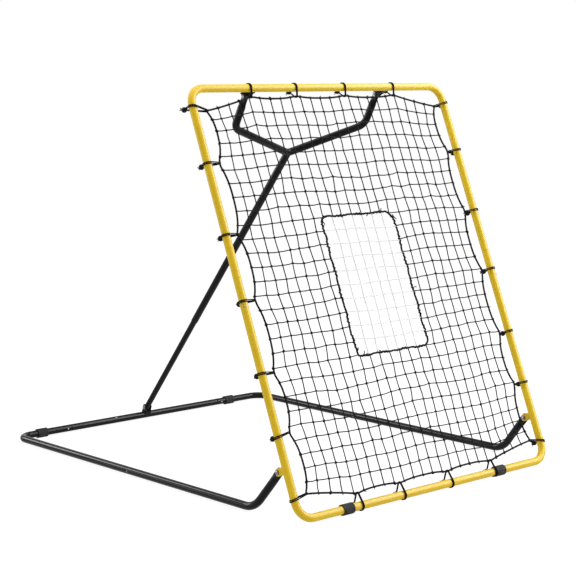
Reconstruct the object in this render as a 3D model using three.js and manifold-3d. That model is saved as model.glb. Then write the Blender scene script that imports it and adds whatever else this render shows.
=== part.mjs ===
// Pitch back rebounder: a leaning tubular frame with a net held by elastic ball ties,
// hinged on a floor base and propped from behind by a yoke and a telescoping strut.
// Units are millimetres, +Z is up, +X is to the right of a player who faces the net, +Y is behind it.

import * as THREE from 'three';
import { mergeVertices } from 'three/addons/utils/BufferGeometryUtils.js';
import ManifoldModule from 'manifold-3d';

const wasm = await ManifoldModule();
wasm.setup();

const degrees = Math.PI / 180;

// Running and seating clearance between pieces that touch on the real object.
const clearance = 0.3;

// Round steel tube, the same for the frame, the base, the yoke and the upper strut.
const tubeRadius = 14;
const tubeWall = 1.4;
const tubeSides = 12;
const bendStep = 18 * degrees;

// Leaning frame, measured between tube centre lines.
const frameWidth = 1192;
const frameHeight = 1472;
const frameTilt = 21.4 * degrees;
const frameBend = 58;
const frameSeam = 805;
const frameOverlap = 118;
const frameButtonInset = 94;

// Floor base, measured between tube centre lines, from the frame's bottom rail.
const baseFrontWidth = 1212;
const baseRearWidth = 1254;
const baseFrontCorner = 218.6;
const baseDepth = 1712;
const baseFrontBend = 100;
const baseRearBend = 60;
const baseSeamLeft = 943;
const baseSeamRight = 1069;
const rearSeamInset = 246;

// Sockets of the black tubes: how far a spigot goes in, and where its snap button sits.
const socketOverlap = 46;
const socketButtonInset = 18;
const swageLength = 3;

// Snap buttons.
const buttonRadius = 3.5;
const buttonProud = 3.2;
const buttonFlangeRadius = 5.2;
const buttonFlangeThickness = 1.4;
const buttonSides = 8;

// Foot sleeves on the bottom rail and on the rear bar.
const footWall = 4.2;
const footLength = 46;
const footBand = 7;
const footRib = 0.9;
const footSides = 16;
const frontFootLeft = - 394;
const frontFootRight = 340;
const rearFootLeftInset = 111;
const rearFootRightInset = 180;

// Flattened tube ends and the brackets that hold them.
const eyeThickness = 12;
const eyeRadius = 16;
const eyeFlat = 19;
const eyeTaper = 28;
const earThickness = 3;
const earRadius = 13;
const earGap = 0.5;
const lowerLugReach = 39;
const lowerLugHeight = 166.2;
const upperLugReach = 50;
const upperLugDrop = 8;
const upperLugSpacing = 626.5;
const upperLugShift = - 4.2;

// Bolts.
const boltRadius = 4;
const boltHeadRadius = 7.5;
const boltHeadHeight = 4;
const boltNutRadius = 7;
const boltSides = 12;

// Yoke and strut. Along and below are measured from the upper pivots, towards the clevis and square to that.
const yokeBendAlong = 128.8;
const yokeBendBelow = 23;
const yokeBendRadius = 42;
const yokeApexAlong = 260.5;
const yokeApexBelow = 19.4;
const yokeApexRadius = 40;
const yokeSeamLeft = 240;
const yokeSeamRight = 112;
const strutUpperLength = 921;
const strutInsert = 200;

// Clevis on the rear bar. The strut's hole is wider than its bolt, so that the strut can swing on it.
const clevisReach = 36.4;
const clevisLean = 16.1 * degrees;
const clevisBoltRadius = 3;
const clevisSwing = 4;
const strutEnd = 10;

// Net, edge rope and strike zone panel, in the frame's own plane.
const netInset = 46;
const netCornerInset = 52;
const netTopDrop = 31;
const netBottomRise = 40;
const netCornerTop = 80;
const netCornerBottom = 78;
const netSideSag = 24;
const netEndSag = 9;
const ropeRadius = 2.8;
const ropeSides = 6;
const stringWidth = 3;
const stringThickness = 2.6;
const netColumns = 12;
const netRows = 14;
const panelWidth = 351;
const panelBottom = 487;
const panelTop = 996;
const panelCorner = 34;
const panelBorder = 8;
const panelThickness = 4;
const panelColumns = 7;
const panelRows = 10;
const panelString = 3;
const panelStringThickness = 2.4;

// Elastic ties: a pair of strands round the tube and the edge rope, gathered in a ball.
const strandRadius = 1.9;
const ballRadius = 10;
const ballBack = 31;
const topBallInset = 3;
const bottomBallInset = 8;
const tieSides = 6;
const tieStep = 30 * degrees;
const leftTieHeights = [ 1205, 955, 728, 482, 282 ];
const rightTieHeights = [ 1207, 966, 732, 486, 291 ];
const lugTieLeft = 21;
const lugTieRight = 32;
const middleTieOffsets = [ - 133, 98 ];
const bottomTieOffsets = [ - 333, - 139, 92, 312 ];

// Sizes that follow from the ones above.
const flatness = Math.cos( Math.PI / tubeSides );
const boreRadius = tubeRadius - tubeWall;
const spigotRadius = boreRadius * flatness - clearance;
const sleeveRadius = ( tubeRadius + clearance ) / flatness;
const footRadius = tubeRadius + clearance + footWall;
const earSlot = eyeThickness + 2 * earGap;
const earSpan = earSlot + 2 * earThickness;
const clevisSlot = 2 * ( spigotRadius + earGap );
const clevisSpan = clevisSlot + 2 * earThickness;
const sideTubeX = frameWidth / 2;
const upperLugLeft = upperLugShift - upperLugSpacing / 2;
const upperLugRight = upperLugShift + upperLugSpacing / 2;
const topTieOffsets = [ upperLugLeft - lugTieLeft, ...middleTieOffsets, upperLugRight + lugTieRight ];
const rearSeam = baseRearWidth / 2 - rearSeamInset;
const rearFootLeft = rearFootLeftInset - baseRearWidth / 2;
const rearFootRight = baseRearWidth / 2 - rearFootRightInset;
const tieHold = 3 * strandRadius;

// Finishes.
function finish( color, roughness, metalness ) {

	return new THREE.MeshStandardMaterial( { color, roughness, metalness } );

}

function yellowPaint() {

	return finish( 0xe6b41e, 0.3, 0.1 );

}

function blackPaint() {

	return finish( 0x1c1d20, 0.28, 0.2 );

}

function zincSteel() {

	return finish( 0xb9bcc2, 0.35, 0.9 );

}

function blackRubber() {

	return finish( 0x202124, 0.75, 0 );

}

function blackCord() {

	return finish( 0x121214, 0.8, 0 );

}

function whiteCord() {

	return finish( 0xdcdde0, 0.8, 0 );

}

// Points of the leaning frame: across, behind its plane and up its slope.
function framePoint( x, behind, up ) {

	const y = up * Math.sin( frameTilt ) + behind * Math.cos( frameTilt );
	const z = up * Math.cos( frameTilt ) - behind * Math.sin( frameTilt );
	return new THREE.Vector3( x, y, z );

}

// Solids.
function signedVolume( positions, index ) {

	const a = new THREE.Vector3();
	const b = new THREE.Vector3();
	const c = new THREE.Vector3();
	let volume = 0;
	for ( let i = 0; i < index.length; i += 3 ) {

		a.fromArray( positions, index[ i ] * 3 );
		b.fromArray( positions, index[ i + 1 ] * 3 );
		c.fromArray( positions, index[ i + 2 ] * 3 );
		volume += a.dot( b.cross( c ) ) / 6;

	}

	return volume;

}

// Skins a row of rings. A closed row returns to its first ring, an open one gets flat ends.
function loft( rings, closed ) {

	const sides = rings[ 0 ].length;
	const positions = [];
	for ( const point of rings.flat() ) positions.push( point.x, point.y, point.z );
	const index = [];
	const spans = closed ? rings.length : rings.length - 1;
	for ( let i = 0; i < spans; i ++ ) {

		const here = i * sides;
		const next = ( ( i + 1 ) % rings.length ) * sides;
		for ( let j = 0; j < sides; j ++ ) {

			const k = ( j + 1 ) % sides;
			index.push( here + j, next + j, next + k, here + j, next + k, here + k );

		}

	}

	if ( ! closed ) {

		const last = ( rings.length - 1 ) * sides;
		for ( let j = 1; j < sides - 1; j ++ ) {

			index.push( 0, j, j + 1 );
			index.push( last, last + j + 1, last + j );

		}

	}

	if ( signedVolume( positions, index ) < 0 ) index.reverse();
	const geometry = new THREE.BufferGeometry();
	geometry.setAttribute( 'position', new THREE.Float32BufferAttribute( positions, 3 ) );
	geometry.setIndex( index );
	return geometry;

}

function toSolid( geometry ) {

	const bare = geometry.clone();
	bare.deleteAttribute( 'normal' );
	bare.deleteAttribute( 'uv' );
	const merged = mergeVertices( bare, 1e-4 );
	const vertProperties = new Float32Array( merged.attributes.position.array );
	const triVerts = new Uint32Array( merged.index.array );
	return new wasm.Manifold( new wasm.Mesh( { numProp: 3, vertProperties, triVerts } ) );

}

function fromSolid( solid ) {

	const mesh = solid.getMesh();
	const geometry = new THREE.BufferGeometry();
	geometry.setAttribute( 'position', new THREE.BufferAttribute( new Float32Array( mesh.vertProperties ), 3 ) );
	geometry.setIndex( new THREE.BufferAttribute( new Uint32Array( mesh.triVerts ), 1 ) );
	return geometry;

}

function cut( geometry, tools ) {

	let solid = toSolid( geometry );
	for ( const tool of tools ) solid = solid.subtract( toSolid( tool ) );
	return fromSolid( solid );

}

function join( geometries ) {

	let solid = toSolid( geometries[ 0 ] );
	for ( const geometry of geometries.slice( 1 ) ) solid = solid.add( toSolid( geometry ) );
	return fromSolid( solid );

}

// A round pin from one point to another, whose flats or corners keep the radius.
function pin( from, to, radius, sides ) {

	const direction = to.clone().sub( from );
	const geometry = new THREE.CylinderGeometry( radius, radius, direction.length(), sides );
	const turn = new THREE.Quaternion().setFromUnitVectors( new THREE.Vector3( 0, 1, 0 ), direction.normalize() );
	geometry.applyQuaternion( turn );
	const middle = from.clone().add( to ).multiplyScalar( 0.5 );
	geometry.translate( middle.x, middle.y, middle.z );
	return geometry;

}

// A drill along X through a point, wide enough for a pin of the given radius.
function crossDrill( point, pinRadius, gap, reach ) {

	const radius = ( pinRadius + gap ) / Math.cos( Math.PI / boltSides );
	const half = new THREE.Vector3( reach, 0, 0 );
	return pin( point.clone().sub( half ), point.clone().add( half ), radius, boltSides );

}

// Stations along a run of straight lines whose corners are rounded.
function bentPath( corners, radii ) {

	const directions = [];
	for ( let i = 1; i < corners.length; i ++ ) {

		directions.push( corners[ i ].clone().sub( corners[ i - 1 ] ).normalize() );

	}

	const stations = [ { point: corners[ 0 ], tangent: directions[ 0 ], radius: tubeRadius } ];
	for ( let i = 1; i < corners.length - 1; i ++ ) {

		const along = directions[ i - 1 ];
		const onward = directions[ i ];
		const turn = along.angleTo( onward );
		const reach = radii[ i - 1 ] * Math.tan( turn / 2 );
		const inward = onward.clone().addScaledVector( along, - onward.dot( along ) ).normalize();
		const start = corners[ i ].clone().addScaledVector( along, - reach );
		const centre = start.clone().addScaledVector( inward, radii[ i - 1 ] );
		const steps = Math.max( 1, Math.ceil( turn / bendStep - 1e-6 ) );
		for ( let j = 0; j <= steps; j ++ ) {

			const angle = turn * j / steps;
			const point = centre.clone().addScaledVector( inward, - radii[ i - 1 ] * Math.cos( angle ) );
			point.addScaledVector( along, radii[ i - 1 ] * Math.sin( angle ) );
			const tangent = along.clone().multiplyScalar( Math.cos( angle ) );
			tangent.addScaledVector( inward, Math.sin( angle ) );
			stations.push( { point, tangent, radius: tubeRadius } );

		}

	}

	const last = directions.length - 1;
	stations.push( { point: corners[ last + 1 ], tangent: directions[ last ], radius: tubeRadius } );
	return stations;

}

// A ring square to the path. The first radius is measured along the across direction.
function ring( station, across, first, second, sides ) {

	const side = new THREE.Vector3().crossVectors( station.tangent, across ).normalize();
	const up = new THREE.Vector3().crossVectors( side, station.tangent ).normalize();
	const points = [];
	for ( let i = 0; i < sides; i ++ ) {

		const angle = i / sides * 2 * Math.PI;
		const point = station.point.clone().addScaledVector( up, first * Math.cos( angle ) );
		point.addScaledVector( side, second * Math.sin( angle ) );
		points.push( point );

	}

	return points;

}

function roundRing( station, across, radius ) {

	return ring( station, across, radius, radius, tubeSides );

}

// The narrowed end that plugs into the next tube, past the last station.
function addSpigot( stations, overlap ) {

	const end = stations[ stations.length - 1 ];
	const neck = end.point.clone().addScaledVector( end.tangent, swageLength );
	const tip = neck.clone().addScaledVector( end.tangent, overlap );
	stations.push( { point: neck, tangent: end.tangent, radius: spigotRadius } );
	stations.push( { point: tip, tangent: end.tangent, radius: spigotRadius } );
	return stations;

}

function reversed( stations ) {

	return stations.map( ( station ) => {

		return { point: station.point, tangent: station.tangent.clone().negate(), radius: station.radius };

	} ).reverse();

}

// A tube that is open at both ends.
function hollowTube( stations, across ) {

	const outer = stations.map( ( station ) => roundRing( station, across, station.radius ) );
	const inner = stations.map( ( station ) => roundRing( station, across, station.radius - tubeWall ) );
	return loft( [ ...outer, ...inner.reverse() ], true );

}

// A tube whose first end is flattened into a rounded eye about the first station, square to X.
function eyeTube( stations ) {

	const across = new THREE.Vector3( 1, 0, 0 );
	const pivot = stations[ 0 ];
	const half = eyeThickness / 2;
	const at = ( distance ) => {

		return { point: pivot.point.clone().addScaledVector( pivot.tangent, distance ), tangent: pivot.tangent };

	};

	const rings = [];
	for ( const angle of [ 75, 50, 25, 0 ] ) {

		const back = - eyeRadius * Math.sin( angle * degrees );
		rings.push( ring( at( back ), across, half, eyeRadius * Math.cos( angle * degrees ), tubeSides ) );

	}

	rings.push( ring( at( eyeFlat ), across, half, eyeRadius, tubeSides ) );
	rings.push( roundRing( at( eyeFlat + eyeTaper ), across, tubeRadius ) );
	for ( const station of stations.slice( 1 ) ) rings.push( roundRing( station, across, station.radius ) );
	for ( const station of stations.slice( 1 ).reverse() ) {

		rings.push( roundRing( station, across, station.radius - tubeWall ) );

	}

	rings.push( roundRing( at( eyeFlat + eyeTaper ), across, boreRadius ) );
	const solid = loft( rings, false );
	return cut( solid, [ crossDrill( pivot.point, boltRadius, clearance, tubeRadius * 2 ) ] );

}

// Snap buttons: each stands on its tube's axis and points out along a radial direction.
function buttonGeometry() {

	const wallInside = ( spigotRadius - tubeWall ) * flatness;
	const seat = Math.sqrt( wallInside ** 2 - buttonFlangeRadius ** 2 ) - clearance;
	const top = tubeRadius + buttonProud;
	const profile = [
		new THREE.Vector2( 0, seat - buttonFlangeThickness ),
		new THREE.Vector2( buttonFlangeRadius, seat - buttonFlangeThickness ),
		new THREE.Vector2( buttonFlangeRadius, seat ),
		new THREE.Vector2( buttonRadius, seat ),
		new THREE.Vector2( buttonRadius, top - buttonRadius / 2 ),
		new THREE.Vector2( buttonRadius * 0.7, top - buttonRadius * 0.13 ),
		new THREE.Vector2( 0, top ),
	];
	return new THREE.LatheGeometry( profile, buttonSides );

}

function buttonDrill( point, outward ) {

	const radius = ( buttonRadius + clearance ) / Math.cos( Math.PI / buttonSides );
	const from = point.clone().addScaledVector( outward, spigotRadius - 3 * tubeWall );
	const to = point.clone().addScaledVector( outward, tubeRadius + tubeWall );
	return pin( from, to, radius, buttonSides );

}

// Bolts across X: a domed head on one side and a hexagon nut on the other.
function boltGeometry( point, span, radius, headSide ) {

	const half = span / 2 + clearance;
	const profile = [
		new THREE.Vector2( 0, - half - boltHeadHeight * 0.6 ),
		new THREE.Vector2( radius, - half - boltHeadHeight * 0.6 ),
		new THREE.Vector2( radius, half ),
		new THREE.Vector2( boltHeadRadius, half ),
		new THREE.Vector2( boltHeadRadius * 0.92, half + boltHeadHeight * 0.45 ),
		new THREE.Vector2( boltHeadRadius * 0.55, half + boltHeadHeight * 0.88 ),
		new THREE.Vector2( 0, half + boltHeadHeight ),
	];
	const shank = new THREE.LatheGeometry( profile, boltSides );
	const nut = new THREE.CylinderGeometry( boltNutRadius, boltNutRadius, boltHeadHeight, 6 );
	nut.translate( 0, - half - boltHeadHeight / 2, 0 );
	const geometry = join( [ shank, nut ] );
	geometry.rotateZ( - headSide * 90 * degrees );
	geometry.translate( point.x, point.y, point.z );
	return geometry;

}

// A folded bracket: two rounded ears and a web, with a saddle for the tube it is welded to.
// It is drawn with the tube's centre at the origin and the ears along +Y, and its pin runs along X.
function bracketGeometry( reach, span, slot, saddleAcross ) {

	const start = tubeRadius * 0.55;
	const webEnd = tubeRadius + clearance + earThickness;
	const outline = new THREE.Shape();
	outline.moveTo( start, - earRadius );
	outline.lineTo( reach, - earRadius );
	outline.absarc( reach, 0, earRadius, - 90 * degrees, 90 * degrees, false );
	outline.lineTo( start, earRadius );
	outline.closePath();
	const block = new THREE.ExtrudeGeometry( outline, { depth: span, bevelEnabled: false, curveSegments: 5 } );
	block.translate( 0, 0, - span / 2 );
	block.applyMatrix4( new THREE.Matrix4().makeBasis(
		new THREE.Vector3( 0, 1, 0 ),
		new THREE.Vector3( 0, 0, 1 ),
		new THREE.Vector3( 1, 0, 0 ),
	) );
	const slotLength = reach + earRadius + 1 - webEnd;
	const opening = new THREE.BoxGeometry( slot, slotLength, 4 * earRadius );
	opening.translate( 0, webEnd + slotLength / 2, 0 );
	const arm = saddleAcross ? new THREE.Vector3( 2 * span, 0, 0 ) : new THREE.Vector3( 0, 0, 4 * earRadius );
	const saddle = pin( arm.clone().negate(), arm, sleeveRadius, tubeSides );
	return cut( block, [ saddle, opening ] );

}

// A ribbed sleeve along X with a plain band at each end and a flat underside.
function footGeometry() {

	const corner = footRadius / Math.cos( Math.PI / footSides );
	const bottom = footSides * 3 / 4;
	const section = ( x, radiusOf ) => {

		const points = [];
		for ( let i = 0; i < footSides; i ++ ) {

			const angle = ( i + 0.5 ) / footSides * 2 * Math.PI;
			const radius = radiusOf( i );
			points.push( new THREE.Vector3( x, radius * Math.cos( angle ), radius * Math.sin( angle ) ) );

		}

		return points;

	};

	const plain = () => corner;
	const ribbed = ( i ) => {

		const under = i === bottom || i === bottom - 1;
		return under || i % 2 === 0 ? corner : corner - footRib;

	};

	const bore = () => ( tubeRadius + clearance ) / Math.cos( Math.PI / footSides );
	const half = footLength / 2;
	const groove = half - footBand;
	return loft( [
		section( - half, plain ),
		section( - groove, plain ),
		section( - groove + footRib, ribbed ),
		section( groove - footRib, ribbed ),
		section( groove, plain ),
		section( half, plain ),
		section( half, bore ),
		section( - half, bore ),
	], true );

}

// One elastic tie, drawn in the plane square to its tube. The first axis runs from the tube towards
// the net, the second behind it, and both strands are skinned as one band with the ball on it.
function tieGeometry( centre, inward, behind, along, ropeDistance, ballTowardsNet ) {

	const chord = Math.cos( tieStep / 2 );
	const loops = [
		{ u: 0, v: 0, radius: ( tubeRadius + clearance + strandRadius ) / chord },
		{ u: ropeDistance, v: 0, radius: ( ropeRadius + clearance + strandRadius ) / chord },
		{ u: ballTowardsNet, v: ballBack, radius: 0 },
	];
	const outline = [];
	for ( let angle = 0; angle < 2 * Math.PI - 1e-6; angle += tieStep ) {

		const u = Math.cos( angle );
		const v = Math.sin( angle );
		let best = loops[ 0 ];
		for ( const loop of loops ) {

			if ( loop.u * u + loop.v * v + loop.radius > best.u * u + best.v * v + best.radius ) best = loop;

		}

		const ball = best.radius === 0;
		const previous = outline[ outline.length - 1 ];
		if ( ball && previous && previous.ball ) continue;
		outline.push( { u: best.u + best.radius * u, v: best.v + best.radius * v, ball } );

	}

	const place = ( u, v ) => centre.clone().addScaledVector( inward, u ).addScaledVector( behind, v );
	const rings = [];
	outline.forEach( ( spot, i ) => {

		const before = outline[ ( i + outline.length - 1 ) % outline.length ];
		const after = outline[ ( i + 1 ) % outline.length ];
		const point = place( spot.u, spot.v );
		const arrive = point.clone().sub( place( before.u, before.v ) ).normalize();
		const leave = place( after.u, after.v ).sub( point ).normalize();
		const tangent = arrive.add( leave ).normalize();
		if ( ! spot.ball ) {

			rings.push( ring( { point, tangent }, along, 2 * strandRadius, strandRadius, tieSides ) );
			return;

		}

		for ( const angle of [ - 66, - 36, 0, 36, 66 ] ) {

			const shift = ballRadius * Math.sin( angle * degrees );
			const radius = ballRadius * Math.cos( angle * degrees );
			const middle = point.clone().addScaledVector( tangent, shift );
			rings.push( ring( { point: middle, tangent }, along, radius, radius, tieSides ) );

		}

	} );
	return loft( rings, true );

}

// The net's outline in the frame's plane: anchors at the ties, with a shallow sag between them.
const netLeft = - sideTubeX + netInset;
const netTop = frameHeight - netTopDrop;
const cornerX = sideTubeX - netCornerInset;
const cornerTop = frameHeight - netCornerTop;

function edgePoint( anchors, position, sag ) {

	let i = 0;
	while ( i < anchors.length - 2 && position > anchors[ i + 1 ].at ) i ++;
	const from = anchors[ i ];
	const to = anchors[ i + 1 ];
	const span = to.at - from.at - 2 * tieHold;
	const share = Math.min( 1, Math.max( 0, ( position - from.at - tieHold ) / span ) );
	const depth = from.corner || to.corner ? sag * ( from.corner && to.corner ? 0 : 0.4 ) : sag;
	return from.depth + ( to.depth - from.depth ) * share + depth * ( 1 - Math.abs( 2 * share - 1 ) ** 2.6 );

}

function sideAnchors( heights ) {

	return [
		{ at: netCornerBottom, depth: netCornerInset },
		...heights.slice().reverse().map( ( at ) => ( { at, depth: netInset } ) ),
		{ at: cornerTop, depth: netCornerInset },
	];

}

const leftAnchors = sideAnchors( leftTieHeights );
const rightAnchors = sideAnchors( rightTieHeights );
const topAnchors = [
	{ at: - cornerX, depth: netCornerTop - 2 * tieHold, corner: true },
	...topTieOffsets.map( ( at ) => ( { at, depth: netTopDrop } ) ),
	{ at: cornerX, depth: netCornerTop - 2 * tieHold, corner: true },
];
const bottomAnchors = [
	{ at: - cornerX, depth: netCornerBottom - 2 * tieHold, corner: true },
	...bottomTieOffsets.map( ( at ) => ( { at, depth: netBottomRise } ) ),
	{ at: cornerX, depth: netCornerBottom - 2 * tieHold, corner: true },
];

function sidePoint( side, up ) {

	const depth = edgePoint( side < 0 ? leftAnchors : rightAnchors, up, netSideSag );
	return new THREE.Vector3( side * ( sideTubeX - depth ), 0, up );

}

function topPoint( x ) {

	return new THREE.Vector3( x, 0, frameHeight - edgePoint( topAnchors, x, netEndSag ) );

}

function bottomPoint( x ) {

	return new THREE.Vector3( x, 0, edgePoint( bottomAnchors, x, netEndSag ) );

}

function anchorStops( anchors ) {

	const stops = [];
	for ( let i = 0; i < anchors.length - 1; i ++ ) {

		const from = anchors[ i ].at + tieHold;
		const span = anchors[ i + 1 ].at - tieHold - from;
		for ( const share of [ 0, 0.28, 0.72, 1 ] ) stops.push( from + span * share );

	}

	return stops;

}

// Down the sides the rope runs on, straight, past the tie at each corner.
function sideStops( anchors ) {

	return [ netCornerBottom - tieHold, ...anchorStops( anchors ), cornerTop + tieHold ];

}

function edgeRopeGeometry() {

	const points = [
		...anchorStops( topAnchors ).map( ( x ) => topPoint( x ) ),
		...sideStops( rightAnchors ).reverse().map( ( up ) => sidePoint( 1, up ) ),
		...anchorStops( bottomAnchors ).reverse().map( ( x ) => bottomPoint( x ) ),
		...sideStops( leftAnchors ).map( ( up ) => sidePoint( - 1, up ) ),
	];
	const across = new THREE.Vector3( 0, 1, 0 );
	const rings = points.map( ( point, i ) => {

		const before = points[ ( i + points.length - 1 ) % points.length ];
		const after = points[ ( i + 1 ) % points.length ];
		const tangent = point.clone().sub( before ).normalize().add( after.clone().sub( point ).normalize() );
		return ring( { point, tangent: tangent.normalize() }, across, ropeRadius, ropeRadius, ropeSides );

	} );
	return loft( rings, true );

}

// Strings end short of the rope, and shorter still beside a tie, whose loop goes round the rope.
function stringEnd( position, anchors ) {

	const beside = anchors.some( ( anchor ) => Math.abs( anchor.at - position ) < 3 * strandRadius + stringWidth );
	return ( ropeRadius + clearance ) * 1.08 + ( beside ? 2.6 * strandRadius : 0 );

}

function netGeometry() {

	const strings = [];
	const pitchX = - 2 * netLeft / netColumns;
	const pitchUp = ( netTop - netBottomRise ) / netRows;
	for ( let i = 1; i < netColumns; i ++ ) {

		const x = netLeft + i * pitchX;
		const low = bottomPoint( x ).z + stringEnd( x, bottomAnchors );
		const high = topPoint( x ).z - stringEnd( x, topAnchors );
		strings.push( flatBar( x, low, x, high, stringWidth, stringThickness ) );

	}

	for ( let j = 1; j < netRows; j ++ ) {

		const up = netBottomRise + j * pitchUp;
		const from = sidePoint( - 1, up ).x + stringEnd( up, leftAnchors );
		const to = sidePoint( 1, up ).x - stringEnd( up, rightAnchors );
		strings.push( flatBar( from, up, to, up, stringWidth, stringThickness ) );

	}

	return cut( join( strings ), [ panelPlate( clearance, 4 * stringThickness ) ] );

}

// A flat string of the net or the panel between two points of the frame's plane.
function flatBar( x0, up0, x1, up1, width, thickness ) {

	const upright = x0 === x1;
	const wide = upright ? width : Math.abs( x1 - x0 );
	const tall = upright ? Math.abs( up1 - up0 ) : width;
	const bar = new THREE.BoxGeometry( wide, thickness, tall );
	bar.translate( ( x0 + x1 ) / 2, 0, ( up0 + up1 ) / 2 );
	return bar;

}

// A flat plate with the panel's outline, whose corners are cut off.
function panelPlate( grow, thickness ) {

	const x = panelWidth / 2 + grow;
	const low = panelBottom - grow;
	const high = panelTop + grow;
	const corner = panelCorner + grow * ( 2 - Math.SQRT2 );
	const outline = new THREE.Shape( [
		new THREE.Vector2( - x + corner, low ),
		new THREE.Vector2( x - corner, low ),
		new THREE.Vector2( x, low + corner ),
		new THREE.Vector2( x, high - corner ),
		new THREE.Vector2( x - corner, high ),
		new THREE.Vector2( - x + corner, high ),
		new THREE.Vector2( - x, high - corner ),
		new THREE.Vector2( - x, low + corner ),
	] );
	const plate = new THREE.ExtrudeGeometry( outline, { depth: thickness, bevelEnabled: false } );
	plate.translate( 0, 0, - thickness / 2 );
	plate.rotateX( 90 * degrees );
	return plate;

}

function panelGeometry() {

	const edge = ( panelWidth - panelBorder ) / 2;
	const low = panelBottom + panelBorder / 2;
	const high = panelTop - panelBorder / 2;
	const border = cut( panelPlate( 0, panelThickness ), [ panelPlate( - panelBorder, 2 * panelThickness ) ] );
	const bars = [ border ];
	for ( let i = 1; i < panelColumns; i ++ ) {

		const x = - edge + 2 * edge * i / panelColumns;
		bars.push( flatBar( x, low, x, high, panelString, panelStringThickness ) );

	}

	for ( let j = 1; j < panelRows; j ++ ) {

		const up = low + ( high - low ) * j / panelRows;
		bars.push( flatBar( - edge, up, edge, up, panelString, panelStringThickness ) );

	}

	return join( bars );

}

// The assembly. The floor is at zero height, and the origin lies under the middle of the object.
const rebounder = new THREE.Group();
const assembly = new THREE.Group();
assembly.position.set( 0, - baseDepth / 2, footRadius );
rebounder.add( assembly );
const frame = new THREE.Group();
frame.rotation.x = - frameTilt;
assembly.add( frame );

function addPiece( group, name, geometry, material ) {

	const mesh = new THREE.Mesh( geometry, material );
	mesh.name = name;
	group.add( mesh );
	return mesh;

}

function addButton( group, name, point, outward, material ) {

	const mesh = addPiece( group, name, buttonGeometry(), material );
	mesh.position.copy( point );
	mesh.quaternion.setFromUnitVectors( new THREE.Vector3( 0, 1, 0 ), outward );
	return mesh;

}

// Frame: the upper section's narrowed ends plug into the lower section.
const intoFrame = new THREE.Vector3( 0, 1, 0 );
const shoulder = frameSeam + swageLength;
const upperCorners = [
	new THREE.Vector3( - sideTubeX, 0, shoulder ),
	new THREE.Vector3( - sideTubeX, 0, frameHeight ),
	new THREE.Vector3( sideTubeX, 0, frameHeight ),
	new THREE.Vector3( sideTubeX, 0, shoulder ),
];
const upperPath = bentPath( upperCorners, [ frameBend, frameBend ] );
const upperStations = addSpigot( reversed( addSpigot( upperPath, frameOverlap ) ), frameOverlap );
const lowerCorners = [
	new THREE.Vector3( - sideTubeX, 0, frameSeam ),
	new THREE.Vector3( - sideTubeX, 0, 0 ),
	new THREE.Vector3( sideTubeX, 0, 0 ),
	new THREE.Vector3( sideTubeX, 0, frameSeam ),
];
const lowerStations = bentPath( lowerCorners, [ frameBend, frameBend ] );
const frameDrills = [];
for ( const side of [ - 1, 1 ] ) {

	const word = side < 0 ? 'left' : 'right';
	const point = new THREE.Vector3( side * sideTubeX, 0, frameSeam - frameButtonInset );
	const outward = new THREE.Vector3( side * Math.SQRT1_2, - Math.SQRT1_2, 0 );
	frameDrills.push( buttonDrill( point, outward ) );
	addButton( frame, `frame_button_${word}`, point, outward, zincSteel() );

}

addPiece( frame, 'frame_upper_tube', cut( hollowTube( upperStations, intoFrame ), frameDrills ), yellowPaint() );
addPiece( frame, 'frame_lower_tube', cut( hollowTube( lowerStations, intoFrame ), frameDrills ), yellowPaint() );

// Brackets and bolts of the two pairs of frame pivots.
for ( const side of [ - 1, 1 ] ) {

	const word = side < 0 ? 'left' : 'right';
	const lower = bracketGeometry( lowerLugReach, earSpan, earSlot, false );
	lower.translate( side * sideTubeX, 0, lowerLugHeight );
	const lowerPivot = new THREE.Vector3( side * sideTubeX, lowerLugReach, lowerLugHeight );
	const lowerHole = crossDrill( lowerPivot, boltRadius, clearance, earSpan );
	addPiece( frame, `lower_lug_${word}`, cut( lower, [ lowerHole ] ), yellowPaint() );
	addPiece( frame, `lower_pivot_bolt_${word}`, boltGeometry( lowerPivot, earSpan, boltRadius, side ), zincSteel() );

	const lean = Math.atan2( upperLugDrop, upperLugReach );
	const upper = bracketGeometry( Math.hypot( upperLugReach, upperLugDrop ), earSpan, earSlot, true );
	upper.rotateX( - lean );
	const lugX = side < 0 ? upperLugLeft : upperLugRight;
	upper.translate( lugX, 0, frameHeight );
	const upperPivot = new THREE.Vector3( lugX, upperLugReach, frameHeight - upperLugDrop );
	const upperHole = crossDrill( upperPivot, boltRadius, clearance, earSpan );
	addPiece( frame, `upper_lug_${word}`, cut( upper, [ upperHole ] ), blackPaint() );
	addPiece( frame, `upper_pivot_bolt_${word}`, boltGeometry( upperPivot, earSpan, boltRadius, side ), zincSteel() );

}

// Net.
addPiece( frame, 'net_mesh', netGeometry(), blackCord() );
addPiece( frame, 'net_edge_rope', edgeRopeGeometry(), blackCord() );
addPiece( frame, 'strike_zone_panel', panelGeometry(), whiteCord() );

// Ties down both sides, along the top and along the bottom.
const right = new THREE.Vector3( 1, 0, 0 );
const backward = new THREE.Vector3( 0, 1, 0 );
const upward = new THREE.Vector3( 0, 0, 1 );
for ( const side of [ - 1, 1 ] ) {

	const word = side < 0 ? 'left' : 'right';
	const heights = [ cornerTop, ...( side < 0 ? leftTieHeights : rightTieHeights ), netCornerBottom ];
	heights.forEach( ( up, i ) => {

		const atCorner = i === 0 || i === heights.length - 1;
		const centre = new THREE.Vector3( side * sideTubeX, 0, up );
		const inward = right.clone().multiplyScalar( - side );
		const distance = atCorner ? netCornerInset : netInset;
		const geometry = tieGeometry( centre, inward, backward, upward, distance, 0 );
		addPiece( frame, `tie_${word}_${i + 1}`, geometry, blackCord() );

	} );

}

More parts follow.
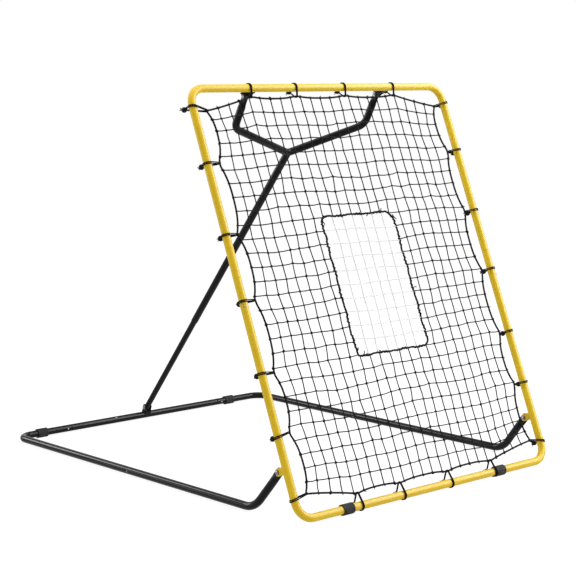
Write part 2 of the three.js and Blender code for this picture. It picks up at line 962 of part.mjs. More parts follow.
topTieOffsets.forEach( ( x, i ) => {

	const centre = new THREE.Vector3( x, 0, frameHeight );
	const inward = upward.clone().negate();
	const geometry = tieGeometry( centre, inward, backward, right, netTopDrop, topBallInset );
	addPiece( frame, `tie_top_${i + 1}`, geometry, blackCord() );

} );
bottomTieOffsets.forEach( ( x, i ) => {

	const centre = new THREE.Vector3( x, 0, 0 );
	const geometry = tieGeometry( centre, upward, backward, right, netBottomRise, bottomBallInset );
	addPiece( frame, `tie_bottom_${i + 1}`, geometry, blackCord() );

} );

// Feet.
const feet = [
	[ 'front_foot_left', frontFootLeft, 0 ],
	[ 'front_foot_right', frontFootRight, 0 ],
	[ 'rear_foot_left', rearFootLeft, baseDepth ],
	[ 'rear_foot_right', rearFootRight, baseDepth ],
];
for ( const [ name, x, y ] of feet ) {

	addPiece( assembly, name, footGeometry(), blackRubber() ).position.set( x, y, 0 );

}

// Base: a front tube with its flattened eye, and a rear corner, on each side, and the bar between them.
const rearInward = new THREE.Vector3( 0, - 1, 0 );
const barDrills = [];
for ( const side of [ - 1, 1 ] ) {

	const word = side < 0 ? 'left' : 'right';
	const seam = side < 0 ? baseSeamLeft : baseSeamRight;
	const pivot = framePoint( side * sideTubeX, lowerLugReach, lowerLugHeight );
	const frontCorner = new THREE.Vector3( side * baseFrontWidth / 2, baseFrontCorner, 0 );
	const rearCorner = new THREE.Vector3( side * baseRearWidth / 2, baseDepth, 0 );
	const railway = rearCorner.clone().sub( frontCorner ).normalize();
	const mouth = frontCorner.clone().addScaledVector( railway, ( seam - baseFrontCorner ) / railway.y );

	// The eye stays square to its bolt, and the tube leans out from where the eye ends.
	const upright = new THREE.Vector3( 0, frontCorner.y - pivot.y, frontCorner.z - pivot.z ).normalize();
	const eyeEnd = pivot.clone().addScaledVector( upright, eyeFlat + eyeTaper );
	const path = bentPath( [ eyeEnd, frontCorner, mouth ], [ baseFrontBend ] );
	path[ 0 ] = { point: pivot, tangent: upright, radius: tubeRadius };
	const buttonPoint = mouth.clone().addScaledVector( railway, - socketButtonInset );
	const outward = new THREE.Vector3( - railway.y, railway.x, 0 );
	const drill = buttonDrill( buttonPoint, outward );
	addPiece( assembly, `base_front_tube_${word}`, cut( eyeTube( path ), [ drill ] ), blackPaint() );
	addButton( assembly, `base_button_${word}`, buttonPoint, outward, zincSteel() );

	const shoulderPoint = mouth.clone().addScaledVector( railway, swageLength );
	const barMouth = new THREE.Vector3( side * rearSeam, baseDepth, 0 );
	const corner = bentPath( [ barMouth, rearCorner, shoulderPoint ], [ baseRearBend ] );
	addSpigot( corner, socketOverlap );
	const barButton = barMouth.clone().addScaledVector( right, side * socketButtonInset );
	const barDrill = buttonDrill( barButton, rearInward );
	barDrills.push( barDrill );
	const rear = hollowTube( corner, upward );
	addPiece( assembly, `base_corner_tube_${word}`, cut( rear, [ drill, barDrill ] ), blackPaint() );
	addButton( assembly, `rear_bar_button_${word}`, barButton, rearInward, zincSteel() );

}

const barEnd = new THREE.Vector3( rearSeam - swageLength, baseDepth, 0 );
const barPath = bentPath( [ barEnd.clone().setX( - barEnd.x ), barEnd ], [] );
const barStations = addSpigot( reversed( addSpigot( barPath, socketOverlap ) ), socketOverlap );
addPiece( assembly, 'base_rear_bar', cut( hollowTube( barStations, upward ), barDrills ), blackPaint() );

// Clevis on the middle of the rear bar.
const clevisWay = new THREE.Vector3( 0, - Math.sin( clevisLean ), Math.cos( clevisLean ) );
const clevisPivot = new THREE.Vector3( 0, baseDepth, 0 ).addScaledVector( clevisWay, clevisReach );
const clevis = bracketGeometry( clevisReach, clevisSpan, clevisSlot, true );
clevis.rotateX( 90 * degrees + clevisLean );
clevis.translate( 0, baseDepth, 0 );
const clevisHole = crossDrill( clevisPivot, clevisBoltRadius, clearance, clevisSpan );
addPiece( assembly, 'clevis_bracket', cut( clevis, [ clevisHole ] ), blackPaint() );
addPiece( assembly, 'clevis_bolt', boltGeometry( clevisPivot, clevisSpan, clevisBoltRadius, 1 ), zincSteel() );

// Yoke: a bent middle tube and two arms, hung from the upper pivots.
const upperPivot = framePoint( 0, upperLugReach, frameHeight - upperLugDrop );
const towardsClevis = clevisPivot.clone().sub( upperPivot ).normalize();
const below = new THREE.Vector3( 0, towardsClevis.z, - towardsClevis.y );
const yokePoint = ( x, along, under ) => {

	const point = upperPivot.clone().addScaledVector( towardsClevis, along ).addScaledVector( below, under );
	return point.setX( x );

};

const apex = yokePoint( 0, yokeApexAlong, yokeApexBelow );
const yokeDrills = [];
const shoulders = [];
for ( const side of [ - 1, 1 ] ) {

	const word = side < 0 ? 'left' : 'right';
	const seam = side < 0 ? yokeSeamLeft : yokeSeamRight;
	const lugX = side < 0 ? upperLugLeft : upperLugRight;
	const pivot = yokePoint( lugX, 0, 0 );
	const bend = yokePoint( lugX, yokeBendAlong, yokeBendBelow );
	const limb = apex.clone().sub( bend ).normalize();
	const mouth = apex.clone().addScaledVector( limb, - seam / Math.abs( limb.x ) );
	shoulders.push( mouth.clone().addScaledVector( limb, swageLength ) );
	const hang = bend.clone().sub( pivot ).normalize();
	const path = bentPath( [ pivot, bend, mouth ], [ yokeBendRadius ] );
	const lift = hang.clone().addScaledVector( limb, - hang.dot( limb ) ).normalize().negate();
	const point = mouth.clone().addScaledVector( limb, - socketButtonInset );
	const drill = buttonDrill( point, lift );
	yokeDrills.push( drill );
	addPiece( assembly, `yoke_arm_${word}`, cut( eyeTube( path ), [ drill ] ), blackPaint() );
	addButton( assembly, `yoke_button_${word}`, point, lift, zincSteel() );

}

const yokeAcross = new THREE.Vector3().crossVectors( right, apex.clone().sub( shoulders[ 0 ] ) ).normalize();
const yokePath = bentPath( [ shoulders[ 0 ], apex, shoulders[ 1 ] ], [ yokeApexRadius ] );
const yokeStations = addSpigot( reversed( addSpigot( yokePath, socketOverlap ) ), socketOverlap );
const yokeTube = hollowTube( yokeStations, yokeAcross );
addPiece( assembly, 'yoke_centre_tube', cut( yokeTube, yokeDrills ), blackPaint() );

// Strut: the lower tube slides in the upper one, whose top is notched to seat on the yoke.
const strutWay = clevisPivot.clone().sub( apex ).normalize();
const strutSpan = clevisPivot.distanceTo( apex );
const strutPoint = ( distance ) => apex.clone().addScaledVector( strutWay, distance );
const strutStation = ( distance, radius ) => {

	return { point: strutPoint( distance ), tangent: strutWay, radius };

};

const notchRings = yokePath.map( ( station ) => roundRing( station, yokeAcross, sleeveRadius ) );
const upperStrut = hollowTube( [ strutStation( 0, tubeRadius ), strutStation( strutUpperLength, tubeRadius ) ], right );
addPiece( assembly, 'strut_upper_tube', cut( upperStrut, [ loft( notchRings, false ) ] ), blackPaint() );
const lowerStart = strutUpperLength - strutInsert;
const lowerStrut = hollowTube( [
	strutStation( lowerStart, spigotRadius ),
	strutStation( strutSpan + strutEnd, spigotRadius ),
], right );
const strutHole = crossDrill( clevisPivot, clevisBoltRadius, clearance + clevisSwing, clevisSpan );
addPiece( assembly, 'strut_lower_tube', cut( lowerStrut, [ strutHole ] ), blackPaint() );

export default rebounder;
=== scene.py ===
import math
import random

import bmesh
import bpy
from mathutils import Matrix, Vector


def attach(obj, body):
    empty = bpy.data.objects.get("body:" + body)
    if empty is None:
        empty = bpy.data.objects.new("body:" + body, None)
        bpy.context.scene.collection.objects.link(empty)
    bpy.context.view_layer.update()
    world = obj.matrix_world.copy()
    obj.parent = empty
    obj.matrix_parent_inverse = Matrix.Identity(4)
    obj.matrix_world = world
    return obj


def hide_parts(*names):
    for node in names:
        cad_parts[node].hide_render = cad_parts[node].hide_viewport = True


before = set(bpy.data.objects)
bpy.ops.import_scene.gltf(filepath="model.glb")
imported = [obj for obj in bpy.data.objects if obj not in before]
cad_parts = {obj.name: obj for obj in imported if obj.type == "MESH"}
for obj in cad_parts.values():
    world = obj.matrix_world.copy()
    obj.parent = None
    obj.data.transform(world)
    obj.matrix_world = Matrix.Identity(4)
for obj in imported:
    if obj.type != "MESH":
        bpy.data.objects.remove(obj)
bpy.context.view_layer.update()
scene = bpy.context.scene
random.seed(11)

tube = {
    "radius": 0.014, "wall": 0.0014, "sides": 40, "bendSteps": 14, "support": 0.003, "plug": 0.0122,
    "neck": 0.003, "bore": 0.03,
}
rail = {
    "halfWidth": 0.596, "height": 1.472, "lean": math.radians(21.4), "bend": 0.058, "seam": 0.805,
    "overlap": 0.118,
}
floorTubes = {
    "frontHalf": 0.606, "rearHalf": 0.627, "frontCorner": 0.2186, "depth": 1.712, "height": 0.0185,
    "frontBend": 0.1, "rearBend": 0.06, "seam": {"left": 0.943, "right": 1.069}, "barSeam": 0.381,
    "socket": 0.046,
}
bothSides = (("left", -1), ("right", 1))
right = Vector((1, 0, 0))
backward = Vector((0, 1, 0))
upward = Vector((0, 0, 1))
depth = floorTubes["depth"]
lift = Matrix.Translation((0, -depth / 2, floorTubes["height"]))
leaning = lift @ Matrix.Rotation(-rail["lean"], 4, "X")


def fillInputs(tree, node, inputs):
    # links an input that comes from another node, and sets any other value on its own socket
    for label, value in inputs.items():
        if isinstance(value, bpy.types.NodeSocket):
            tree.links.new(value, node.inputs[label])
        else:
            node.inputs[label].default_value = value


def addNode(tree, kind, inputs, **settings):
    node = tree.nodes.new("ShaderNode" + kind)
    for label, value in settings.items():
        setattr(node, label, value)
    fillInputs(tree, node, inputs)
    return node


def addMath(tree, operation, first, second=0.0):
    return addNode(tree, "Math", {0: first, 1: second}, operation=operation).outputs[0]


def seenDirectly(tree):
    # 1 for rays that show the backdrop itself, in the picture, in metal or through glass
    rays = addNode(tree, "LightPath", {})
    seen = rays.outputs["Is Camera Ray"]
    for kind in ("Is Glossy Ray", "Is Transmission Ray"):
        seen = addMath(tree, "MAXIMUM", seen, rays.outputs[kind])
    return seen


print("stage")
cameraPlace = {
    "location": (-3.5624, -4.3494, 1.3291), "turn": (82.96790, 1.01034, -40.15862), "lens": 92.75,
    "sensor": 36, "reach": 60,
}
cameraData = bpy.data.cameras.new("camera")
cameraData.lens = cameraPlace["lens"]
cameraData.sensor_width = cameraPlace["sensor"]
cameraData.clip_end = cameraPlace["reach"]
camera = bpy.data.objects.new("camera", cameraData)
camera.location = cameraPlace["location"]
camera.rotation_euler = [math.radians(angle) for angle in cameraPlace["turn"]]
scene.collection.objects.link(camera)
scene.camera = camera
scene.view_settings.view_transform = "Standard"

lamps = {
    "keyLight": {"at": (3.4, -3.4, 3.2), "wide": 2.4, "tall": 2.4, "power": 115, "diffuse": True},
    "topLight": {"at": (-0.6, 0.4, 4.4), "wide": 3.6, "tall": 3.6, "power": 100, "diffuse": True},
    "keyGleam": {"at": (3.5, -3.5, 2.2), "wide": 4.0, "tall": 2.6, "power": 300, "diffuse": False},
    "leftGleam": {"at": (-2.2, 4.3, 2.5), "wide": 1.2, "tall": 2.6, "power": 125, "diffuse": False},
    "lowGleam": {"at": (-4.3, 2.9, 0.9), "wide": 3.0, "tall": 1.6, "power": 40, "diffuse": False},
    "highGleam": {"at": (2.35, -1.3, 3.3), "wide": 1.8, "tall": 1.6, "power": 130, "diffuse": False},
}
lampAim = Vector((0, 0, 0.6))
for name, lamp in lamps.items():
    lampData = bpy.data.lights.new(name, "AREA")
    lampData.shape = "RECTANGLE"
    lampData.size = lamp["wide"]
    lampData.size_y = lamp["tall"]
    lampData.energy = lamp["power"]
    lampObject = bpy.data.objects.new(name, lampData)
    lampObject.location = lamp["at"]
    lampObject.rotation_euler = (Vector(lamp["at"]) - lampAim).to_track_quat("Z", "Y").to_euler()
    lampObject.visible_diffuse = lamp["diffuse"]
    lampObject.visible_camera = False
    scene.collection.objects.link(lampObject)

room = {"light": 0.50, "shown": 1.0}
world = bpy.data.worlds.new("studio")
scene.world = world
world.use_nodes = True
worldTree = world.node_tree
worldTree.nodes.clear()
whichRoom = addNode(worldTree, "MixShader", {0: seenDirectly(worldTree)})
for place, strength in ((1, room["light"]), (2, room["shown"])):
    roomLight = addNode(worldTree, "Background", {"Color": (1, 1, 1, 1), "Strength": strength})
    fillInputs(worldTree, whichRoom, {place: roomLight.outputs[0]})
addNode(worldTree, "OutputWorld", {0: whichRoom.outputs[0]})

print("materials")


def startGroup(name, inputs, outputs):
    group = bpy.data.node_groups.new(name, "ShaderNodeTree")
    for label, value in inputs.items():
        socket = group.interface.new_socket(label, in_out="INPUT", socket_type="NodeSocketFloat")
        socket.default_value = value
    for label in outputs:
        group.interface.new_socket(label, in_out="OUTPUT", socket_type="NodeSocketFloat")
    return group, group.nodes.new("NodeGroupInput"), group.nodes.new("NodeGroupOutput")


def addNoise(tree, vector, scale, detail, roughness=0.5):
    inputs = {"Vector": vector, "Scale": scale, "Detail": detail, "Roughness": roughness}
    return addNode(tree, "TexNoise", inputs).outputs["Fac"]


def spread(tree, value, low, high, toLow=0.0, toHigh=1.0):
    inputs = {"Value": value, "From Min": low, "From Max": high, "To Min": toLow, "To Max": toHigh}
    return addNode(tree, "MapRange", inputs, interpolation_type="SMOOTHSTEP").outputs[0]


def makePaintSkin():
    # cloudy tone, orange peel height and a sparse rub mask for powder coat
    inputs = {"Cloud Scale": 9.0, "Peel Scale": 420.0}
    group, entry, leave = startGroup("paintSkin", inputs, ("Cloud", "Peel", "Rub"))
    place = addNode(group, "TexCoord", {}).outputs["Object"]
    stretched = addNode(group, "Mapping", {"Vector": place, "Scale": (240, 90, 60)}).outputs[0]
    streak = spread(group, addNoise(group, stretched, 1.0, 5, 0.6), 0.66, 0.74)
    patch = spread(group, addNoise(group, place, 6.0, 2), 0.56, 0.68)
    fillInputs(group, leave, {
        "Cloud": addNoise(group, place, entry.outputs["Cloud Scale"], 4),
        "Peel": addNoise(group, place, entry.outputs["Peel Scale"], 2),
        "Rub": addMath(group, "MULTIPLY", streak, patch),
    })
    return group


def makeBraid():
    # crossed slanting strands from a cord's own UV: x runs along it in metres, y once round it
    inputs = {"Turns Per Metre": 160.0, "Strands": 3.0, "Crossing": 1.0}
    group, entry, leave = startGroup("braid", inputs, ("Height", "Crown Light And Fuzz"))
    place = addNode(group, "TexCoord", {})
    split = addNode(group, "SeparateXYZ", {0: place.outputs["UV"]})
    along = addMath(group, "MULTIPLY", split.outputs["X"], entry.outputs["Turns Per Metre"])
    around = addMath(group, "MULTIPLY", split.outputs["Y"], entry.outputs["Strands"])
    waves = []
    for operation in ("ADD", "SUBTRACT"):
        turn = addMath(group, "MULTIPLY", addMath(group, operation, along, around), 2 * math.pi)
        waves.append(addMath(group, "ABSOLUTE", addMath(group, "SINE", turn)))
    crossed = addMath(group, "MULTIPLY", waves[1], entry.outputs["Crossing"])
    height = addMath(group, "MAXIMUM", waves[0], crossed)
    fuzz = addNoise(group, place.outputs["Object"], 900.0, 3)
    # painted light: the colour share is high on the strands' raised crowns as a painted highlight and low in
    # the grooves between them as painted shade, varied by a random fuzz
    fillInputs(group, leave, {
        "Height": addMath(group, "ADD", height, addMath(group, "MULTIPLY", fuzz, 0.5)),
        "Crown Light And Fuzz": addMath(group, "MULTIPLY", height, fuzz),
    })
    return group


def makeMoulding():
    # fine pebble and a slow dusty tone for steel, rubber and moulded plastic
    inputs = {"Grain Scale": 1300.0, "Dust Scale": 40.0}
    group, entry, leave = startGroup("moulding", inputs, ("Grain", "Dust"))
    place = addNode(group, "TexCoord", {}).outputs["Object"]
    cells = addNode(group, "TexVoronoi", {"Vector": place, "Scale": entry.outputs["Grain Scale"]})
    dust = addNoise(group, place, entry.outputs["Dust Scale"], 5, 0.65)
    fillInputs(group, leave, {"Grain": cells.outputs["Distance"], "Dust": spread(group, dust, 0.45, 0.75)})
    return group


paintSkin = makePaintSkin()
braid = makeBraid()
moulding = makeMoulding()


def startMaterial(name, group, inputs):
    # a new material with its shader and the group that feeds it
    material = bpy.data.materials.new(name)
    material.use_nodes = True
    tree = material.node_tree
    skin = addNode(tree, "Group", inputs, node_tree=group)
    return material, tree, tree.nodes["Principled BSDF"], skin.outputs


def blendColours(tree, factor, first, second):
    inputs = {"Factor": factor}
    for label, colour in (("A", first), ("B", second)):
        inputs[label] = (*colour, 1) if isinstance(colour, tuple) else colour
    return addNode(tree, "Mix", inputs, data_type="RGBA").outputs["Result"]


def addBump(tree, height, strength, distance):
    inputs = {"Strength": strength, "Distance": distance, "Height": height}
    return addNode(tree, "Bump", inputs).outputs[0]


def makePaint(name, look):
    material, tree, shader, skin = startMaterial(name, paintSkin, {})
    rub = addMath(tree, "MULTIPLY", skin["Rub"], look["rub"])
    tone = blendColours(tree, spread(tree, skin["Cloud"], 0.3, 0.7), look["deep"], look["light"])
    gloss = look["gloss"]
    fillInputs(tree, shader, {
        "Base Color": blendColours(tree, rub, tone, look["rubbed"]),
        "Roughness": spread(tree, skin["Cloud"], 0.25, 0.75, gloss - 0.04, gloss + 0.06),
        "IOR": look["ior"],
        "Normal": addBump(tree, skin["Peel"], look["peel"], 0.0003),
    })
    return material


def makeDusty(name, look):
    scales = {"Grain Scale": look["grain"], "Dust Scale": look["dustScale"]}
    material, tree, shader, skin = startMaterial(name, moulding, scales)
    dust = addMath(tree, "MULTIPLY", skin["Dust"], look["dust"])
    fillInputs(tree, shader, {
        "Base Color": blendColours(tree, dust, look["base"], look["dusty"]),
        "Roughness": spread(tree, skin["Dust"], 0, 1, *look["gloss"]),
        "Normal": addBump(tree, skin["Grain"], look["bump"], look["bumpHeight"]),
        **look["sockets"],
    })
    return material


def makeCordMaterial(name, look):
    weave = {"Turns Per Metre": look["turns"], "Strands": look["strands"], "Crossing": look["crossing"]}
    material, tree, shader, skin = startMaterial(name, braid, weave)
    fillInputs(tree, shader, {
        # the base colour is painted: lit on the braid's raised crowns as a painted highlight, base in its
        # grooves as painted shade, with a random fuzz between them
        "Base Color": blendColours(tree, skin["Crown Light And Fuzz"], look["base"], look["lit"]),
        "Roughness": look["roughness"],
        "Sheen Weight": look["sheen"],
        "Sheen Roughness": 0.5,
        "Specular IOR Level": look["shine"],
        "Normal": addBump(tree, skin["Height"], 0.6, look["bump"]),
    })
    return material


yellowLook = {
    "deep": (0.78, 0.520, 0.006), "light": (0.84, 0.565, 0.010), "rubbed": (0.86, 0.64, 0.06),
    "rub": 0.05, "gloss": 0.42, "ior": 1.35, "peel": 0.004,
}
blackLook = {
    "deep": (0.006, 0.006, 0.007), "light": (0.010, 0.010, 0.012), "rubbed": (0.05, 0.05, 0.055),
    "rub": 0.3, "gloss": 0.10, "ior": 1.18, "peel": 0.004,
}
boltLook = {
    "base": (0.24, 0.24, 0.25), "dusty": (0.12, 0.12, 0.13), "grain": 900.0, "dustScale": 260.0,
    "dust": 1.0, "gloss": (0.24, 0.42), "bump": 0.1, "bumpHeight": 0.0002,
    "sockets": {"Metallic": 1.0},
}
darkLook = {**boltLook, "base": (0.14, 0.14, 0.15), "dusty": (0.07, 0.07, 0.075)}
rubberLook = {
    "base": (0.018, 0.018, 0.019), "dusty": (0.16, 0.155, 0.15), "grain": 1400.0, "dustScale": 45.0,
    "dust": 0.16, "gloss": (0.5, 0.65), "bump": 0.25, "bumpHeight": 0.0003, "sockets": {"IOR": 1.2},
}
ballLook = {
    **rubberLook, "base": (0.006, 0.006, 0.007), "grain": 700.0, "dustScale": 90.0, "dust": 0.06,
    "gloss": (0.42, 0.57), "bump": 0.05, "sockets": {"IOR": 1.18},
}
# for the cords, base is the colour painted into the braid's grooves as shade and lit is the colour painted
# onto its raised crowns as highlight
stringLook = {
    "base": (0.003, 0.003, 0.004), "lit": (0.018, 0.018, 0.021), "roughness": 0.8, "sheen": 0.02,
    "shine": 0.08, "turns": 90.0, "strands": 2.0, "crossing": 0.0, "bump": 0.0006,
}
ropeLook = {**stringLook, "turns": 45.0, "strands": 1.5, "bump": 0.0012}
tieLook = {
    **stringLook, "lit": (0.009, 0.009, 0.010), "shine": 0.04, "turns": 130.0, "strands": 3.0,
    "crossing": 1.0,
}
zoneLook = {
    **stringLook, "base": (0.87, 0.87, 0.87), "lit": (0.96, 0.96, 0.96), "roughness": 0.7,
    "sheen": 0.2, "shine": 0.4,
}
yellowPaint = makePaint("yellowPaint", yellowLook)
blackPaint = makePaint("blackPaint", blackLook)
boltSteel = makeDusty("boltSteel", boltLook)
darkSteel = makeDusty("darkSteel", darkLook)
blackRubber = makeDusty("blackRubber", rubberLook)
ballPlastic = makeDusty("ballPlastic", ballLook)
netCord = makeCordMaterial("netCord", stringLook)
edgeCord = makeCordMaterial("edgeCord", ropeLook)
tieCord = makeCordMaterial("tieCord", tieLook)
zoneCord = makeCordMaterial("zoneCord", zoneLook)

ground = {"matte": 0.80, "glow": 1.26, "share": 0.72, "size": 14}


def makeFloor():
    material = bpy.data.materials.new("studioFloor")
    material.use_nodes = True
    tree = material.node_tree
    tree.nodes.clear()
    matte = addNode(tree, "BsdfDiffuse", {"Color": (*[ground["matte"]] * 3, 1)})
    glow = addNode(tree, "Emission", {"Strength": ground["glow"]})
    share = addMath(tree, "MULTIPLY", seenDirectly(tree), ground["share"])
    mix = addNode(tree, "MixShader", {0: share, 1: matte.outputs[0], 2: glow.outputs[0]})
    addNode(tree, "OutputMaterial", {0: mix.outputs[0]})
    return material


floorMesh = bpy.data.meshes.new("floor")
floorBuild = bmesh.new()
bmesh.ops.create_grid(floorBuild, x_segments=1, y_segments=1, size=ground["size"])
floorBuild.to_mesh(floorMesh)
floorBuild.free()
floorMesh.materials.append(makeFloor())
floor = bpy.data.objects.new("floor", floorMesh)
scene.collection.objects.link(floor)


def dressPiece(name, mesh, material, body, node):
    # gives a mesh its material, hangs it on the body it rides on and hides the CAD node it stands for
    mesh.materials.clear()
    mesh.materials.append(material)
    piece = bpy.data.objects.new(name, mesh)
    scene.collection.objects.link(piece)
    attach(piece, body)
    if node:
        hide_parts(node)


def finishPiece(name, build, material, body, node=None, place=None, smoothAngle=30):
    if place is not None:
        bmesh.ops.transform(build, matrix=place, verts=build.verts)
    bmesh.ops.recalc_face_normals(build, faces=build.faces)
    mesh = bpy.data.meshes.new(name)
    build.to_mesh(mesh)
    build.free()
    mesh.shade_smooth()
    mesh.set_sharp_from_angle(angle=math.radians(smoothAngle))
    dressPiece(name, mesh, material, body, node)


def facing(heading):
    # a turn that brings the z axis round to the heading
    return heading.to_track_quat("Z", "X").to_matrix().to_4x4()


def startRing(build, centre, heading, radius=tube["radius"], sides=tube["sides"]):
    place = Matrix.Translation(centre) @ facing(heading)
    made = bmesh.ops.create_circle(build, cap_ends=False, segments=sides, radius=radius, matrix=place)
    return list({edge for vert in made["verts"] for edge in vert.link_edges})


def only(kind, items):
    return [item for item in items if isinstance(item, kind)]


def vertsOf(edges):
    return list({vert for edge in edges for vert in edge.verts})


def pushRing(build, ring, shift):
    grown = bmesh.ops.extrude_edge_only(build, edges=ring)["geom"]
    fresh = only(bmesh.types.BMVert, grown)
    bmesh.ops.translate(build, verts=fresh, vec=shift)
    known = set(fresh)
    return [edge for edge in only(bmesh.types.BMEdge, grown) if known.issuperset(edge.verts)]


def sizeRing(build, ring, centre, factors, basis=None):
    # scales a ring about its centre, along the basis' own axes
    space = Matrix.Translation(centre) @ (basis.to_4x4() if basis else Matrix.Identity(4))
    bmesh.ops.scale(build, verts=vertsOf(ring), vec=factors, space=space.inverted())


def stepRing(build, ring, centre, shift, factor):
    ring = pushRing(build, ring, shift)
    centre = centre + shift
    sizeRing(build, ring, centre, (factor, factor, factor))
    return ring, centre


def closeRing(build, ring):
    bmesh.ops.contextual_create(build, geom=ring)


def runProfile(build, ring, centre, heading, radius, profile):
    # takes a ring of the given radius through a list of (step along the heading, radius there)
    for step, wide in profile:
        ring, centre = stepRing(build, ring, centre, heading * step, wide / radius)
        radius = wide
    return ring, centre


def scaled(profile, radius, reach=1.0):
    return [(reach * step, radius * wide) for step, wide in profile]


def turnPart(build, centre, heading, radius, sides, profile):
    # a round part with both ends closed; gives the middle of its far end
    ring = startRing(build, centre, heading, radius, sides)
    closeRing(build, ring)
    ring, centre = runProfile(build, ring, centre, heading, radius, profile)
    closeRing(build, ring)
    return centre


def runTube(build, ring, points, bend):
    # sends a ring along straight legs, with a round bend at each point between them
    here = points[0]
    for i in range(1, len(points)):
        leg = (points[i] - points[i - 1]).normalized()
        target = points[i]
        bent = i < len(points) - 1
        if bent:
            onward = (points[i + 1] - points[i]).normalized()
            turn = leg.angle(onward)
            target = points[i] - leg * bend * math.tan(turn / 2)
        # short rings beside the bends keep the shading of a long leg straight
        short = leg * tube["support"]
        for shift in (short, target - here - 2 * short, short):
            ring = pushRing(build, ring, shift)
        here = target
        if bent:
            axis = leg.cross(onward).normalized()
            spun = bmesh.ops.spin(
                build,
                geom=ring,
                cent=here + axis.cross(leg) * bend,
                axis=axis,
                dvec=(0, 0, 0),
                angle=turn,
                steps=max(4, round(tube["bendSteps"] * turn / (math.pi / 2))),
                use_duplicate=False,
            )["geom_last"]
            ring = only(bmesh.types.BMEdge, spun)
            here = points[i] + onward * bend * math.tan(turn / 2)
    return ring


def endTube(build, ring, centre, heading, kind):
    # a flat cap, a rolled lip with the bore going back in, or a plug of the given length
    radius, bore = tube["radius"], tube["radius"] - tube["wall"]
    profile = ()
    if kind == "mouth":
        lip = (0.0004, radius - 0.0003), (0.0001, radius - 0.0007)
        profile = (*lip, (-0.0001, bore), (-tube["bore"], bore))
    elif kind != "cap":
        chamfer = 0.0006
        profile = (chamfer, radius - 0.0004), (tube["neck"] - chamfer, tube["plug"]), (kind, tube["plug"])
    closeRing(build, runProfile(build, ring, centre, heading, radius, profile)[0])


eye = {"half": 0.006, "radius": 0.016, "flat": 0.019, "taper": 0.028, "steps": 8, "edge": 0.8}


def startEye(build, pivot, heading):
    # the flattened end of a tube, then the round ring where the tube begins
    side = heading.cross(right).normalized()
    basis = Matrix((right, side, heading)).transposed()
    begin = pivot + heading * (eye["flat"] + eye["taper"])
    ring = startRing(build, begin, heading)
    thin, broad = eye["half"] / tube["radius"], eye["radius"] / tube["radius"]
    stations = []
    for i in range(1, eye["steps"] + 1):
        share = i / eye["steps"]
        ease = (1 - math.cos(math.pi * share)) / 2
        distance = eye["flat"] + eye["taper"] * (1 - share)
        stations.append((distance, 1 + (thin - 1) * ease, 1 + (broad - 1) * ease))
    for angle in (0, 20, 40, 60, 75, 86):
        bend = math.radians(angle)
        across = thin * (1 if angle < 80 else eye["edge"])
        stations.append((-eye["radius"] * math.sin(bend), across, broad * math.cos(bend)))
    back, across, wide, where = ring, 1.0, 1.0, begin
    for distance, newAcross, newWide in stations:
        spot = pivot + heading * distance
        back = pushRing(build, back, spot - where)
        sizeRing(build, back, spot, (newAcross / across, newWide / wide, 1), basis)
        where, across, wide = spot, newAcross, newWide
    closeRing(build, back)
    return ring, begin


def makeTube(name, points, bend, ends, material, body, node, place=None):
    # each end is an eye, mouth, cap or the length of its plug; a straight tube has no bend
    build = bmesh.new()
    way = points[1] - points[0]
    if ends[0] == "eye":
        # an eye stays square to its bolt, which runs along x
        first, begin = startEye(build, points[0], Vector((0, way.y, way.z)).normalized())
        points = [begin, *points[1:]]
    else:
        first = startRing(build, points[0], way.normalized())
    last = runTube(build, first, points, bend) if bend else pushRing(build, first, way)
    if ends[0] != "eye":
        endTube(build, first, points[0], -way.normalized(), ends[0])
    endTube(build, last, points[-1], (points[-1] - points[-2]).normalized(), ends[1])
    finishPiece(name, build, material, body, node, place)


print("frame tubes")
sideX, topUp = rail["halfWidth"], rail["height"]


def makeHalf(name, end, turn, kind, node):
    # one half of the frame, from its left end round two corners to its right end
    heights = (-sideX, end), (-sideX, turn), (sideX, turn), (sideX, end)
    points = [Vector((x, 0, up)) for x, up in heights]
    makeTube(name, points, rail["bend"], (kind, kind), yellowPaint, "frame", node, leaning)


makeHalf("frameUpperTube", rail["seam"] + tube["neck"], topUp, rail["overlap"], "frame_upper_tube")
makeHalf("frameLowerTube", rail["seam"], 0, "mouth", "frame_lower_tube")

print("buttons")
snap = {
    "radius": 0.0035, "proud": 0.0032, "root": 0.009, "inset": 0.018, "frameInset": 0.094,
    "dome": ((0.72, 1.0), (0.14, 0.93), (0.09, 0.74), (0.04, 0.42), (0.01, 0.12)),
}


def makeButton(name, point, outward, material, body, node):
    build = bmesh.new()
    reach = tube["radius"] + snap["proud"] - snap["root"]
    dome = scaled(snap["dome"], snap["radius"], reach)
    turnPart(build, point + outward * snap["root"], outward, snap["radius"], 24, dome)
    finishPiece(name, build, material, body, node, smoothAngle=50)


for word, side in bothSides:
    point = leaning @ Vector((side * sideX, 0, rail["seam"] - snap["frameInset"]))
    outward = leaning.to_3x3() @ Vector((side * math.sqrt(0.5), -math.sqrt(0.5), 0))
    makeButton(f"frameButton.{word}", point, outward, boltSteel, f"frame_snap_{word}", f"frame_button_{word}")

print("brackets")
ear = {
    "radius": 0.013, "thick": 0.003, "fold": 0.0035, "webAt": 0.0158, "strips": 8,
    "rootDeep": 0.009, "rootIn": 0.0035, "edge": 0.0005,
}


